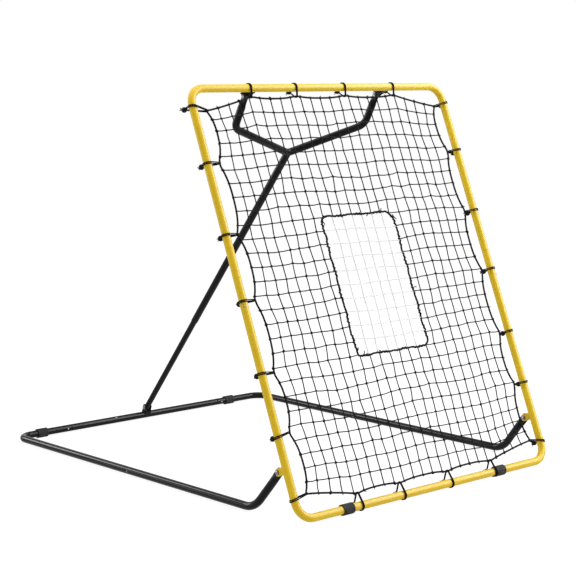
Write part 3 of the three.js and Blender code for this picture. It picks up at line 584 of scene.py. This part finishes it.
def makeBracket(name, reach, innerGap, material, body, node, place):
    # a strip folded into a U: down one ear, across the web and up the other
    build = bmesh.new()
    half = innerGap / 2 + ear["thick"] / 2
    radius, fold, web = ear["radius"], ear["fold"], ear["webAt"]
    across = [-1 + 2 * i / ear["strips"] for i in range(ear["strips"] + 1)]
    chain = [build.verts.new((-half, reach, z)) for z in across]
    strip = [build.edges.new(pair) for pair in zip(chain, chain[1:])]
    path = []
    for angle in range(84, -1, -12):
        bend = math.radians(angle)
        path.append((-half, reach + radius * math.sin(bend), radius * math.cos(bend)))
    path.append((-half, web + fold, radius))
    for angle in (30, 60, 90):
        bend = math.radians(angle)
        path.append((-half + fold * (1 - math.cos(bend)), web + fold * (1 - math.sin(bend)), radius))
    path += [(-x, y, width) for x, y, width in reversed(path)]
    here = Vector((-half, reach, 0))
    width = 1.0
    for i, (x, y, wide) in enumerate(path):
        spot = Vector((x, y, 0))
        if i == 0:
            bmesh.ops.translate(build, verts=vertsOf(strip), vec=spot - here)
        else:
            strip = pushRing(build, strip, spot - here)
        bmesh.ops.scale(build, verts=vertsOf(strip), vec=(1, 1, wide / width))
        here, width = spot, wide
    bmesh.ops.recalc_face_normals(build, faces=build.faces)
    bmesh.ops.solidify(build, geom=build.faces[:], thickness=ear["thick"])
    # the root that is welded to the tube
    root = bmesh.ops.create_cube(build, size=1)["verts"]
    bmesh.ops.scale(build, verts=root, vec=(2 * half + ear["thick"], ear["rootDeep"], 2 * radius))
    bmesh.ops.translate(build, verts=root, vec=(0, web - ear["rootIn"], 0))
    sharp = math.radians(50)
    edges = [edge for edge in build.edges if len(edge.link_faces) == 2 and edge.calc_face_angle(0) > sharp]
    rounding = {"offset": ear["edge"], "segments": 2, "profile": 0.5, "affect": "EDGES", "material": -1}
    bmesh.ops.bevel(build, geom=edges, **rounding)
    finishPiece(name, build, material, body, node, place, smoothAngle=40)


lugs = {
    "lowerReach": 0.039, "lowerHeight": 0.1662, "upperReach": 0.050, "upperDrop": 0.008,
    "upperAt": {"left": -0.31745, "right": 0.30905}, "gap": 0.013,
}
upperTurn = Matrix.Rotation(-math.atan2(lugs["upperDrop"], lugs["upperReach"]), 4, "X")
upperReach = math.hypot(lugs["upperReach"], lugs["upperDrop"])
for word, side in bothSides:
    place = leaning @ Matrix.Translation((side * sideX, 0, lugs["lowerHeight"]))
    fitted = yellowPaint, "frame", f"lower_lug_{word}"
    makeBracket(f"lowerLug.{word}", lugs["lowerReach"], lugs["gap"], *fitted, place)
    place = leaning @ Matrix.Translation((lugs["upperAt"][word], 0, topUp)) @ upperTurn
    fitted = blackPaint, "frame", f"upper_lug_{word}"
    makeBracket(f"upperLug.{word}", upperReach, lugs["gap"], *fitted, place)

clevis = {"reach": 0.0364, "lean": math.radians(16.1), "gap": 0.0248, "boltSpan": 0.0308, "boltRadius": 0.003}
rearLine = Vector((0, depth / 2, floorTubes["height"]))
place = Matrix.Translation(rearLine) @ Matrix.Rotation(math.pi / 2 + clevis["lean"], 4, "X")
makeBracket("clevisBracket", clevis["reach"], clevis["gap"], blackPaint, "base", "clevis_bracket", place)

print("bolts")
bolt = {
    "span": 0.019, "radius": 0.004, "play": 0.0003, "washer": (0.0009, 0.0085),
    "head": ((0, 0.0074), (0.0012, 0.0074), (0.0012, 0.0068), (0.0008, 0.0052), (0.0004, 0.0028)),
    "dimple": (-0.0012, 0.00252), "nut": ((0.0029, 0.0072), (0.0006, 0.0072 * 0.93)),
    "end": ((0.0012, 1.0), (0.0004, 0.8)),
}


def makeBolt(name, point, span, radius, headSide, body, node):
    # a domed head, its washer, the shank and a nut with the thread's end, along X
    build = bmesh.new()
    half = span / 2 + bolt["play"]
    washer, nut = bolt["washer"], bolt["nut"]
    headProfile = (washer, *bolt["head"], bolt["dimple"])
    turnPart(build, Vector((half, 0, 0)), right, washer[1], 32, headProfile)
    nutEnd = Vector((-half, 0, 0))
    centre = turnPart(build, nutEnd, -right, washer[1], 32, (washer,))
    centre = turnPart(build, centre, -right, nut[0][1], 6, nut)
    ring = startRing(build, centre, -right, radius, 20)
    closeRing(build, runProfile(build, ring, centre, -right, radius, scaled(bolt["end"], radius))[0])
    pushRing(build, startRing(build, nutEnd, right, radius, 20), right * 2 * half)
    place = Matrix.Translation(point) @ Matrix.Rotation(0 if headSide > 0 else math.pi, 4, "Z")
    finishPiece(name, build, boltSteel, body, node, place, smoothAngle=38)


def lowerPivot(side):
    return leaning @ Vector((side * sideX, lugs["lowerReach"], lugs["lowerHeight"]))


def upperPivot(x):
    return leaning @ Vector((x, lugs["upperReach"], topUp - lugs["upperDrop"]))


for word, side in bothSides:
    fitted = bolt["span"], bolt["radius"], side, "frame"
    makeBolt(f"lowerPivotBolt.{word}", lowerPivot(side), *fitted, f"lower_pivot_bolt_{word}")
    makeBolt(f"upperPivotBolt.{word}", upperPivot(lugs["upperAt"][word]), *fitted, f"upper_pivot_bolt_{word}")
clevisUp = Vector((0, -math.sin(clevis["lean"]), math.cos(clevis["lean"])))
clevisPivot = rearLine + clevisUp * clevis["reach"]
makeBolt("clevisBolt", clevisPivot, clevis["boltSpan"], clevis["boltRadius"], 1, "base", "clevis_bolt")

print("base, yoke and strut")


def basePoint(x, y):
    return lift @ Vector((x, y, 0))


for word, side in bothSides:
    frontCorner = basePoint(side * floorTubes["frontHalf"], floorTubes["frontCorner"])
    rearCorner = basePoint(side * floorTubes["rearHalf"], depth)
    way = (rearCorner - frontCorner).normalized()
    mouth = frontCorner + way * (floorTubes["seam"][word] - floorTubes["frontCorner"]) / way.y
    points = [lowerPivot(side), frontCorner, mouth]
    fitted = blackPaint, "base", f"base_front_tube_{word}"
    makeTube(f"baseFrontTube.{word}", points, floorTubes["frontBend"], ("eye", "mouth"), *fitted)
    fitted = darkSteel, f"base_snap_{word}", f"base_button_{word}"
    makeButton(f"baseButton.{word}", mouth - way * snap["inset"], Vector((-way.y, way.x, 0)), *fitted)

    barMouth = basePoint(side * floorTubes["barSeam"], depth)
    points = [barMouth, rearCorner, mouth + way * tube["neck"]]
    fitted = ("mouth", floorTubes["socket"]), blackPaint, "base", f"base_corner_tube_{word}"
    makeTube(f"baseCornerTube.{word}", points, floorTubes["rearBend"], *fitted)
    spot = barMouth + right * side * snap["inset"]
    fitted = boltSteel, f"rear_bar_snap_{word}", f"rear_bar_button_{word}"
    makeButton(f"rearBarButton.{word}", spot, -backward, *fitted)

barEnd = floorTubes["barSeam"] - tube["neck"]
points = [basePoint(x, depth) for x in (-barEnd, barEnd)]
plugs = floorTubes["socket"], floorTubes["socket"]
makeTube("baseRearBar", points, None, plugs, blackPaint, "base", "base_rear_bar")

rivet = {
    "x": -0.158, "rise": math.radians(48), "radius": 0.0034, "sunk": 0.0008,
    "dome": ((0.0012, 1.0), (0.0007, 0.8), (0.0004, 0.44)),
}
build = bmesh.new()
outward = Vector((0, -math.cos(rivet["rise"]), math.sin(rivet["rise"])))
centre = basePoint(rivet["x"], depth) + outward * (tube["radius"] - rivet["sunk"])
turnPart(build, centre, outward, rivet["radius"], 24, scaled(rivet["dome"], rivet["radius"]))
finishPiece("rearBarRivet", build, boltSteel, "base", smoothAngle=50)

yoke = {
    "bendAlong": 0.1288, "bendBelow": 0.023, "bend": 0.042, "apexAlong": 0.2605,
    "apexBelow": 0.0194, "apexBend": 0.04, "seam": {"left": 0.240, "right": 0.112},
}
strut = {
    "start": 0.006, "upper": 0.921, "insert": 0.2, "end": 0.010,
    "tip": ((0.0003, 0.97), (0.0001, 0.873), (-0.0012, 0.86427)),
}
middle = upperPivot(0)
towardsClevis = (clevisPivot - middle).normalized()
below = Vector((0, towardsClevis.z, -towardsClevis.y))
apex = middle + towardsClevis * yoke["apexAlong"] + below * yoke["apexBelow"]
shoulders = []
for word, side in bothSides:
    pivot = middle + right * lugs["upperAt"][word]
    bendAt = pivot + towardsClevis * yoke["bendAlong"] + below * yoke["bendBelow"]
    limb = (apex - bendAt).normalized()
    mouth = apex - limb * yoke["seam"][word] / abs(limb.x)
    fitted = ("eye", "mouth"), blackPaint, "yoke", f"yoke_arm_{word}"
    makeTube(f"yokeArm.{word}", [pivot, bendAt, mouth], yoke["bend"], *fitted)
    hang = (bendAt - pivot).normalized()
    outward = -(hang - limb * hang.dot(limb)).normalized()
    fitted = darkSteel, f"yoke_snap_{word}", f"yoke_button_{word}"
    makeButton(f"yokeButton.{word}", mouth - limb * snap["inset"], outward, *fitted)
    shoulders.append(mouth + limb * tube["neck"])
points = [shoulders[0], apex, shoulders[1]]
makeTube("yokeCentreTube", points, yoke["apexBend"], plugs, blackPaint, "yoke", "yoke_centre_tube")

strutWay = (clevisPivot - apex).normalized()
points = [apex + strutWay * strut["start"], apex + strutWay * strut["upper"]]
makeTube("strutUpperTube", points, None, ("cap", "mouth"), blackPaint, "yoke", "strut_upper_tube")

build = bmesh.new()
top = apex + strutWay * (strut["upper"] - strut["insert"])
run = (clevisPivot + strutWay * strut["end"] - top).length
profile = scaled(((run, 1.0), *strut["tip"]), tube["plug"])
turnPart(build, top, strutWay, tube["plug"], tube["sides"], profile)
finishPiece("strutLowerTube", build, blackPaint, "strut_lower", "strut_lower_tube")

print("feet")
foot = {
    "length": 0.046, "band": 0.007, "radius": 0.0187, "bore": 0.0145, "rim": 0.0180,
    "round": 0.0007, "slope": 0.0008, "rib": 0.0009, "ribs": 26,
}
footPlaces = {
    "front_foot_left": (-0.394, 0, "frame"),
    "front_foot_right": (0.340, 0, "frame"),
    "rear_foot_left": (-0.516, depth, "base"),
    "rear_foot_right": (0.447, depth, "base"),
}


def makeFoot(node, x, y, body):
    build = bmesh.new()
    centre = Vector((-foot["length"] / 2, 0, 0))
    ring = startRing(build, centre, right, foot["bore"], foot["ribs"] * 4)
    radius, step, groove = foot["radius"], foot["round"], foot["radius"] - foot["rib"]
    band = (step, radius), (foot["band"] - 2 * step, radius)
    start = ((0, foot["rim"]), *band, (step, groove))
    ring, centre = runProfile(build, ring, centre, right, foot["bore"], start)
    slope = foot["slope"]
    grooved = []
    for shift in (slope, foot["length"] - 2 * foot["band"] - 2 * slope, slope):
        ring, centre = stepRing(build, ring, centre, right * shift, 1.0)
        grooved.append((ring, centre))
    stop = (*band, (step, foot["rim"]), (0, foot["bore"]))
    runProfile(build, ring, centre, right, groove, stop)
    # ribs: two verts of every four stand proud between the bands
    for ribRing, spot in grooved[:2]:
        proud = []
        for vert in vertsOf(ribRing):
            turn = math.atan2(vert.co.z, vert.co.y) / (2 * math.pi) * foot["ribs"] * 4
            if round(turn) % 4 < 2:
                proud.append(vert)
        factor = radius / groove
        bmesh.ops.scale(build, verts=proud, vec=(1, factor, factor), space=Matrix.Translation(-spot))
    # the sleeve is cut flat where it stands on the floor
    below = {"plane_co": (0, 0, -floorTubes["height"]), "plane_no": (0, 0, -1), "clear_outer": True}
    everything = build.verts[:] + build.edges[:] + build.faces[:]
    cut = bmesh.ops.bisect_plane(build, geom=everything, **below)
    bmesh.ops.edgeloop_fill(build, edges=only(bmesh.types.BMEdge, cut["geom_cut"]))
    place = Matrix.Translation(basePoint(x, y))
    finishPiece(node.replace("_foot_", "Foot."), build, blackRubber, body, node, place, smoothAngle=28)


for node, (x, y, body) in footPlaces.items():
    makeFoot(node, x, y, body)

print("net")
net = {
    "inset": 0.046, "cornerInset": 0.052, "topDrop": 0.031, "bottomRise": 0.040, "cornerTop": 0.080,
    "cornerBottom": 0.078, "sideSag": 0.024, "endSag": 0.009, "cornerSag": 0.4, "columns": 23,
    "rows": 28, "columnStart": -0.530, "columnPitch": 0.0461, "rowStart": 0.0531,
    "rowPitch": 0.0491, "fade": 0.085, "string": 0.0041, "slack": 0.0006,
    "stray": (0.0005, 0.0004, 0.0005), "knot": 0.0042, "rimKnot": 0.0052, "stub": 0.0024,
    "rope": 0.0068, "wander": 0.0022,
    "waves": ((0.0035, 0.55, 0.21, 0.0), (0.0025, 0.23, -0.6, 1.3)),
}
sideTies = {
    "left": (1.205, 0.955, 0.728, 0.482, 0.282),
    "right": (1.207, 0.966, 0.732, 0.486, 0.291),
}
topTies = [lugs["upperAt"]["left"] - 0.021, -0.133, 0.098, lugs["upperAt"]["right"] + 0.032]
bottomTies = [-0.333, -0.139, 0.092, 0.312]
cornerX = sideX - net["cornerInset"]
cornerTop = topUp - net["cornerTop"]


def edgeAnchors(ties, inset, start, end):
    return [start, *[(where, inset) for where in ties], end]


sideAnchors = {}
for word, side in bothSides:
    ends = (net["cornerBottom"], net["cornerInset"]), (cornerTop, net["cornerInset"])
    sideAnchors[side] = edgeAnchors(reversed(sideTies[word]), net["inset"], *ends)
ends = (-cornerX, net["cornerTop"]), (cornerX, net["cornerTop"])
topAnchors = edgeAnchors(topTies, net["topDrop"], *ends)
ends = (-cornerX, net["cornerBottom"]), (cornerX, net["cornerBottom"])
bottomAnchors = edgeAnchors(bottomTies, net["bottomRise"], *ends)


def edgeDepth(anchors, where, sag, atEnds):
    # how far the edge rope lies inside the tube's centre line
    where = min(max(where, anchors[0][0]), anchors[-1][0])
    for i in range(len(anchors) - 1):
        (a, depthA), (b, depthB) = anchors[i], anchors[i + 1]
        if where <= b:
            share = (where - a) / (b - a)
            much = sag * (atEnds if i in (0, len(anchors) - 2) else 1.0)
            return depthA + (depthB - depthA) * share + much * (1 - abs(2 * share - 1) ** 2.6)
    return anchors[-1][1]


def sidePoint(side, up):
    return Vector((side * (sideX - edgeDepth(sideAnchors[side], up, net["sideSag"], 1.0)), 0, up))


def topPoint(x):
    return Vector((x, 0, topUp - edgeDepth(topAnchors, x, net["endSag"], net["cornerSag"])))


def bottomPoint(x):
    return Vector((x, 0, edgeDepth(bottomAnchors, x, net["endSag"], net["cornerSag"])))


def makeCords(name, lines, thickness, material, sides=6, node=None, place=leaning, closed=False, fill=True):
    # round cords along lines of points, with UV x in metres along each cord
    curve = bpy.data.curves.new(name, "CURVE")
    curve.dimensions = "3D"
    curve.bevel_depth = thickness / 2
    curve.bevel_resolution = (sides - 4) // 2
    curve.use_fill_caps = fill
    for line in lines:
        spline = curve.splines.new("POLY")
        spline.points.add(len(line) - 1)
        for point, spot in zip(spline.points, line):
            point.co = (*spot, 1)
        spline.use_cyclic_u = closed
    holder = bpy.data.objects.new(name + "Line", curve)
    scene.collection.objects.link(holder)
    bpy.context.view_layer.update()
    mesh = bpy.data.meshes.new_from_object(holder.evaluated_get(bpy.context.evaluated_depsgraph_get()))
    bpy.data.objects.remove(holder)
    bpy.data.curves.remove(curve)
    longest = sum((b - a).length for a, b in zip(lines[0], lines[0][1:]))
    for loop in mesh.uv_layers[0].data:
        loop.uv.x *= longest
    mesh.transform(place)
    mesh.name = name
    mesh.shade_smooth()
    dressPiece(name, mesh, material, "frame", node)


def evenPoints(points, spacing, closed=False):
    # the same line with points at even steps, so that a twist keeps its pitch
    ends = points + ([points[0]] if closed else [])
    lengths = [0.0]
    for a, b in zip(ends, ends[1:]):
        lengths.append(lengths[-1] + (b - a).length)
    count = max(2, round(lengths[-1] / spacing))
    made = []
    k = 0
    for i in range(count if closed else count + 1):
        goal = lengths[-1] * i / count
        while k < len(lengths) - 2 and lengths[k + 1] < goal:
            k += 1
        share = (goal - lengths[k]) / max(1e-9, lengths[k + 1] - lengths[k])
        made.append(ends[k].lerp(ends[k + 1], share))
    return made


def ropeLine():
    shares = [i / 60 for i in range(60)]
    tall = cornerTop - net["cornerBottom"]
    line = [topPoint(cornerX * (2 * share - 1)) for share in shares]
    line += [sidePoint(1, cornerTop - tall * share) for share in shares]
    line += [bottomPoint(cornerX * (1 - 2 * share)) for share in shares]
    line += [sidePoint(-1, net["cornerBottom"] + tall * share) for share in shares]
    return evenPoints(line, 0.008, closed=True)


makeCords("edgeRope", [ropeLine()], net["rope"], edgeCord, sides=10, node="net_edge_rope", closed=True)

zone = {
    "left": -0.1720, "right": 0.1715, "low": 0.4905, "high": 0.9920, "middle": 0.741,
    "columns": [-0.1180, -0.0705, -0.0245, 0.0220, 0.0690, 0.1150], "rows": 10, "firstRow": 9,
    "columnSlant": 0.014, "rowSlant": 0.029, "wander": (0.0013, 0.0004, 0.0013),
    "corners": (0.022, 0.036, 0.022, 0.014), "rope": 0.0070, "lashing": 0.0024, "looseEnd": 0.0034,
    "string": 0.0042, "knot": 0.0028,
}


def fade(distance, reach):
    return math.exp(-max(0.0, distance) / reach)


def jitter(*sizes):
    return Vector([random.gauss(0, size) for size in sizes])


netWander = {}


def knotSpot(i, j):
    # a square grid that follows the scalloped rope near its edges and wanders a little inside
    startX, startUp, reach = net["columnStart"], net["rowStart"], net["fade"]
    endX = startX + net["columnPitch"] * net["columns"]
    endUp = startUp + net["rowPitch"] * net["rows"]
    x = startX + net["columnPitch"] * i
    up = startUp + net["rowPitch"] * j
    left, right = sidePoint(-1, up).x, sidePoint(1, up).x
    low, high = bottomPoint(x).z, topPoint(x).z
    newX = x + (left - startX) * fade(x - startX, reach) + (right - endX) * fade(endX - x, reach)
    newUp = up + (low - startUp) * fade(up - startUp, reach) + (high - endUp) * fade(endUp - up, reach)
    if (i, j) not in netWander:
        netWander[(i, j)] = jitter(1, 1, 1)
    inward = min(i, net["columns"] - i, j, net["rows"] - j)
    if inward > 0:
        a, b, c = netWander[(i, j)]
        wave = sum(size * math.sin(i * byX + j * byUp + start) for size, byX, byUp, start in net["waves"])
        calm = 1 - 0.5 * fade(inward - 1, 1.5)
        newX += (net["wander"] * a + wave * 0.5) * calm
        newUp += (net["wander"] * 0.8 * b + wave) * calm
        return Vector((newX, net["slack"] * c, newUp))
    if j == 0 or j == net["rows"]:
        return bottomPoint(newX) if j == 0 else topPoint(newX)
    return sidePoint(-1 if i == 0 else 1, newUp)


def zoneDistance(spot):
    # negative inside the panel's rounded outline
    middleX, middleUp = (zone["left"] + zone["right"]) / 2, (zone["low"] + zone["high"]) / 2
    x, up = spot.x - middleX, spot.z - middleUp
    corner = zone["corners"][(0 if x < 0 else 1) if up > 0 else (3 if x < 0 else 2)]
    overX = abs(x) - (zone["right"] - zone["left"]) / 2 + corner
    overUp = abs(up) - (zone["high"] - zone["low"]) / 2 + corner
    return math.hypot(max(overX, 0), max(overUp, 0)) + min(max(overX, overUp), 0) - corner


def zoneCrossing(outer, inner):
    # where a string from outside meets the panel's border
    low, high = 0.0, 1.0
    for _ in range(24):
        half = (low + high) / 2
        if zoneDistance(outer.lerp(inner, half)) < 0:
            high = half
        else:
            low = half
    return outer.lerp(inner, low)


def stringLines(spots):
    # splits a row of knots where it would pass through the panel, and lets each mesh hang a touch slack
    lines, line = [], []
    for i, spot in enumerate(spots):
        if zoneDistance(spot) < 0:
            if line:
                line.append(zoneCrossing(line[-1], spot))
                lines.append(line)
                line = []
            continue
        if not line and i > 0:
            line.append(zoneCrossing(spot, spots[i - 1]))
        if line:
            line.append(line[-1].lerp(spot, 0.5) + jitter(*net["stray"]) - upward * net["slack"])
        line.append(spot)
    if line:
        lines.append(line)
    return lines


netColumns, netRows = range(net["columns"] + 1), range(net["rows"] + 1)
netLines = []
for i in netColumns[1:-1]:
    netLines += stringLines([knotSpot(i, j) for j in netRows])
for j in netRows[1:-1]:
    netLines += stringLines([knotSpot(i, j) for i in netColumns])
makeCords("netStrings", netLines, net["string"], netCord, node="net_mesh", fill=False)


def makeKnots(name, spots, size, material):
    # one lump per crossing, each turned and sized a little differently
    build = bmesh.new()
    for spot in spots:
        turn = Matrix.Rotation(random.uniform(0, 3.1), 4, "Y")
        turn @= Matrix.Rotation(random.uniform(-0.5, 0.5), 4, "X")
        grow = size * random.uniform(0.85, 1.2)
        place = Matrix.Translation(spot) @ turn @ Matrix.Diagonal((grow * 1.25, grow * 0.9, grow * 0.85, 1))
        bmesh.ops.create_uvsphere(build, u_segments=7, v_segments=5, radius=1.0, matrix=place)
    finishPiece(name, build, material, "frame", place=leaning, smoothAngle=70)


def rimSide(place, count):
    # which rim a line of the net lies on: -1 for the first, 1 for the last and 0 between them
    return -1 if place == 0 else int(place == count)


knotSpots, rimSpots = [], []
for i in netColumns:
    for j in netRows:
        spot = knotSpot(i, j)
        outward = Vector((rimSide(i, net["columns"]), 0, rimSide(j, net["rows"])))
        if outward.length == 1:
            rimSpots.append((spot, outward))
        elif outward.length == 0 and zoneDistance(spot) >= 0.004:
            knotSpots.append(spot)
makeKnots("netKnots", knotSpots, net["knot"], netCord)
makeKnots("netRimKnots", [spot for spot, outward in rimSpots], net["rimKnot"], netCord)

print("strike zone")


def zoneOutline():
    # clockwise from the top left, each corner with its own rounding
    order = ("left", "high"), ("right", "high"), ("right", "low"), ("left", "low")
    corners = [Vector((zone[x], 0, zone[up])) for x, up in order]
    line = []
    for k, here in enumerate(corners):
        inward = (here - corners[k - 1]).normalized()
        onward = (corners[(k + 1) % 4] - here).normalized()
        radius = zone["corners"][k]
        for step in range(7):
            angle = math.pi / 2 * step / 6
            before, after = radius * (1 - math.sin(angle)), radius * (1 - math.cos(angle))
            line.append(here - inward * before + onward * after)
    return evenPoints(line, 0.006, closed=True)


wavy = []
for i, spot in enumerate(zoneOutline()):
    drift = 0.0018 * math.sin(i * 0.29) + 0.0012 * math.sin(i * 0.83 + 0.7) + random.gauss(0, 0.0005)
    wavy.append(spot + Vector((drift, random.gauss(0, 0.0004), drift * 0.7)))
makeCords("zoneBorder", [wavy], zone["rope"], edgeCord, sides=8, closed=True)

# a lashing cord wound round the border, and the loose ends that stand off it
lashing = []
for i in range(len(wavy) * 4):
    here, after = wavy[i // 4], wavy[(i // 4 + 1) % len(wavy)]
    aside = (after - here).cross(backward).normalized()
    angle = i * 0.62 + 0.8 * math.sin(i * 0.05)
    reach = zone["rope"] / 2 + 0.0004 + 0.0011 * math.sin(i * 0.11)
    around = aside * math.cos(angle) + backward * math.sin(angle)
    lashing.append(here.lerp(after, (i % 4) / 4) + around * reach)
makeCords("zoneLashing", [lashing], zone["lashing"], tieCord, closed=True)
looseEnds = [
    [(0.166, 0.979), (0.173, 0.968), (0.182, 0.960)],
    [(-0.171, 0.976), (-0.165, 0.969), (-0.163, 0.961)],
    [(-0.171, 0.506), (-0.165, 0.512), (-0.162, 0.519)],
    [(0.112, 0.992), (0.118, 0.999), (0.121, 1.005)],
    [(-0.146, 0.491), (-0.141, 0.498), (-0.139, 0.504)],
    [(0.170, 0.700), (0.179, 0.705), (0.187, 0.702)],
    [(-0.061, 0.490), (-0.067, 0.497), (-0.072, 0.499)],
    [(0.052, 0.990), (0.046, 0.983), (0.040, 0.981)],
]
endLines = [[Vector((x, -0.003, up)) for x, up in line] for line in looseEnds]
makeCords("zoneLooseEnds", endLines, zone["looseEnd"], tieCord)

zoneGrid = {}
zoneRows = range(1, zone["rows"])
zoneColumns = range(len(zone["columns"]))
for i in zoneColumns:
    for j in zoneRows:
        x, up = zone["columns"][i], net["rowStart"] + net["rowPitch"] * (zone["firstRow"] + j)
        skewX = x + zone["columnSlant"] * (up - zone["middle"])
        skewUp = up - zone["rowSlant"] * x
        wave = 0.0018 * math.sin(i * 0.8 + j * 0.35)
        zoneGrid[(i, j)] = Vector((skewX + wave, 0, skewUp - wave)) + jitter(*zone["wander"])


def toBorder(line):
    # carries a string on, at both ends, to where it meets the border
    reach = 0.09
    first = zoneCrossing(line[0] + (line[0] - line[1]).normalized() * reach, line[0])
    last = zoneCrossing(line[-1] + (line[-1] - line[-2]).normalized() * reach, line[-1])
    return [first, *line, last]


zoneLines = [toBorder([zoneGrid[(i, j)] for j in zoneRows]) for i in zoneColumns]
zoneLines += [toBorder([zoneGrid[(i, j)] for i in zoneColumns]) for j in zoneRows]
makeCords("zoneStrings", zoneLines, zone["string"], zoneCord, node="strike_zone_panel", fill=False)
makeKnots("zoneKnotRow", zoneGrid.values(), zone["knot"], zoneCord)

# each string's own knot on the edge rope leaves a short stub outside it
stubs = []
for spot, outward in rimSpots:
    tilt = Vector((random.uniform(-0.6, 0.6), random.uniform(-0.5, 0.1), random.uniform(-0.6, 0.6)))
    way = (outward + tilt).normalized()
    length = random.uniform(0.005, 0.010)
    stubs.append([spot, spot + way * length * 0.6, spot + way * length + tilt * 0.001])
makeCords("netStubs", stubs, net["stub"], netCord, sides=5)

print("ties")
tie = {
    "strand": 0.0038, "turns": 72, "topInset": 0.003, "bottomInset": 0.008, "spread": 0.0026,
    "leftRises": (0.0165, 0.0, 0.0, 0.0, 0.002, -0.010, -0.012),
    "rightRises": (0.011, 0.004, 0.002, 0.004, 0.005, 0.001, -0.014),
    "leftShifts": (-0.014, -0.004, -0.001, 0.006, 0.002, 0.002, 0.022),
    "rightShifts": (-0.020, -0.011, 0.004, 0.008, 0.0, -0.007, 0.0),
}
ball = {
    "radius": 0.0098, "back": 0.031, "flat": 0.86, "knots": ((1.02, 0.0038), (1.28, 0.0026)),
    "tail": 0.0026, "tailRoot": (0.0012, 1.2),
    "tailSteps": ((0.0018, 0.5, 0.0025), (0.0034, 1.0, 0.0055)), "swing": 0.004,
}


def tieLoop(ropeDistance, ballTowardsNet):
    # the taut outline round the tube, the edge rope and the ball, in the plane square to the tube
    reach = tie["strand"] / 2 + 0.0002
    rounds = [
        (0.0, 0.0, tube["radius"] + reach),
        (ropeDistance, 0.0, net["rope"] / 2 + reach),
        (ballTowardsNet, ball["back"], 0.0),
    ]
    loop = []
    for step in range(tie["turns"]):
        angle = 2 * math.pi * step / tie["turns"]
        u, v = math.cos(angle), math.sin(angle)
        best = max(rounds, key=lambda item: item[0] * u + item[1] * v + item[2])
        spot = (best[0] + best[2] * u, best[1] + best[2] * v, rounds.index(best))
        if loop and spot[2] == 2 and loop[-1][2] == 2:
            continue
        loop.append(spot)
    return loop


def makeTie(name, node, centre, inward, along, ropeDistance, ballTowardsNet, rise=0.0):
    span = ropeDistance + tube["radius"]
    lines = []
    for hand in (-1, 1):
        line = []
        for u, v, owner in tieLoop(ropeDistance, ballTowardsNet):
            apart = (tie["spread"], tie["strand"] * 0.52, tie["strand"] * 0.35)[owner]
            slant = rise * (ropeDistance - u) / span
            line.append(centre + inward * u + backward * v + along * (hand * apart + slant))
        lines.append(evenPoints(line, 0.004, closed=True))
    makeCords(name, lines, tie["strand"], tieCord, sides=8, node=node, closed=True)

    # the ball, flattened where the cord leaves it, with the knot and its two tails behind it
    height = rise * (ropeDistance - ballTowardsNet) / span
    spot = centre + inward * ballTowardsNet + backward * ball["back"] + along * height
    build = bmesh.new()
    radius = ball["radius"]
    made = bmesh.ops.create_uvsphere(build, u_segments=24, v_segments=16, radius=radius)["verts"]
    face = radius * ball["flat"]
    flat = [vert for vert in made if vert.co.z < -face]
    bmesh.ops.scale(build, verts=flat, vec=(1, 1, 0), space=Matrix.Translation((0, 0, face)))
    for shift, size in ball["knots"]:
        knotAt = Matrix.Translation((0, 0, radius * shift)) @ Matrix.Diagonal((1.2, 0.85, 0.85, 1))
        bmesh.ops.create_uvsphere(build, u_segments=10, v_segments=8, radius=size, matrix=knotAt)
    place = leaning @ Matrix.Translation(spot) @ facing(spot - centre)
    finishPiece(name + ".ball", build, ballPlastic, "frame", place=place, smoothAngle=60)
    tails = []
    aside, behind = ball["tailRoot"]
    for hand in (-1, 1):
        swing = random.uniform(-ball["swing"], ball["swing"])
        root = Vector((hand * aside, 0, radius * behind))
        steps = [Vector((hand * out, swing * share, back)) for out, share, back in ball["tailSteps"]]
        tails.append([root, *[root + step for step in steps]])
    makeCords(name + ".tails", tails, ball["tail"], tieCord, place=place)


for word, side in bothSides:
    for k, up in enumerate([cornerTop, *sideTies[word], net["cornerBottom"]]):
        distance = net["cornerInset"] if k in (0, 6) else net["inset"]
        centre = Vector((side * sideX, 0, up))
        slants = tie[word + "Shifts"][k], tie[word + "Rises"][k]
        named = f"tie.{word}.{k + 1}", f"tie_{word}_{k + 1}"
        makeTie(*named, centre, right * -side, upward, distance, *slants)
for k, x in enumerate(topTies):
    named = f"tie.top.{k + 1}", f"tie_top_{k + 1}"
    makeTie(*named, Vector((x, 0, topUp)), -upward, right, net["topDrop"], tie["topInset"])
for k, x in enumerate(bottomTies):
    named = f"tie.bottom.{k + 1}", f"tie_bottom_{k + 1}"
    makeTie(*named, Vector((x, 0, 0)), upward, right, net["bottomRise"], tie["bottomInset"])

bpy.context.view_layer.update()
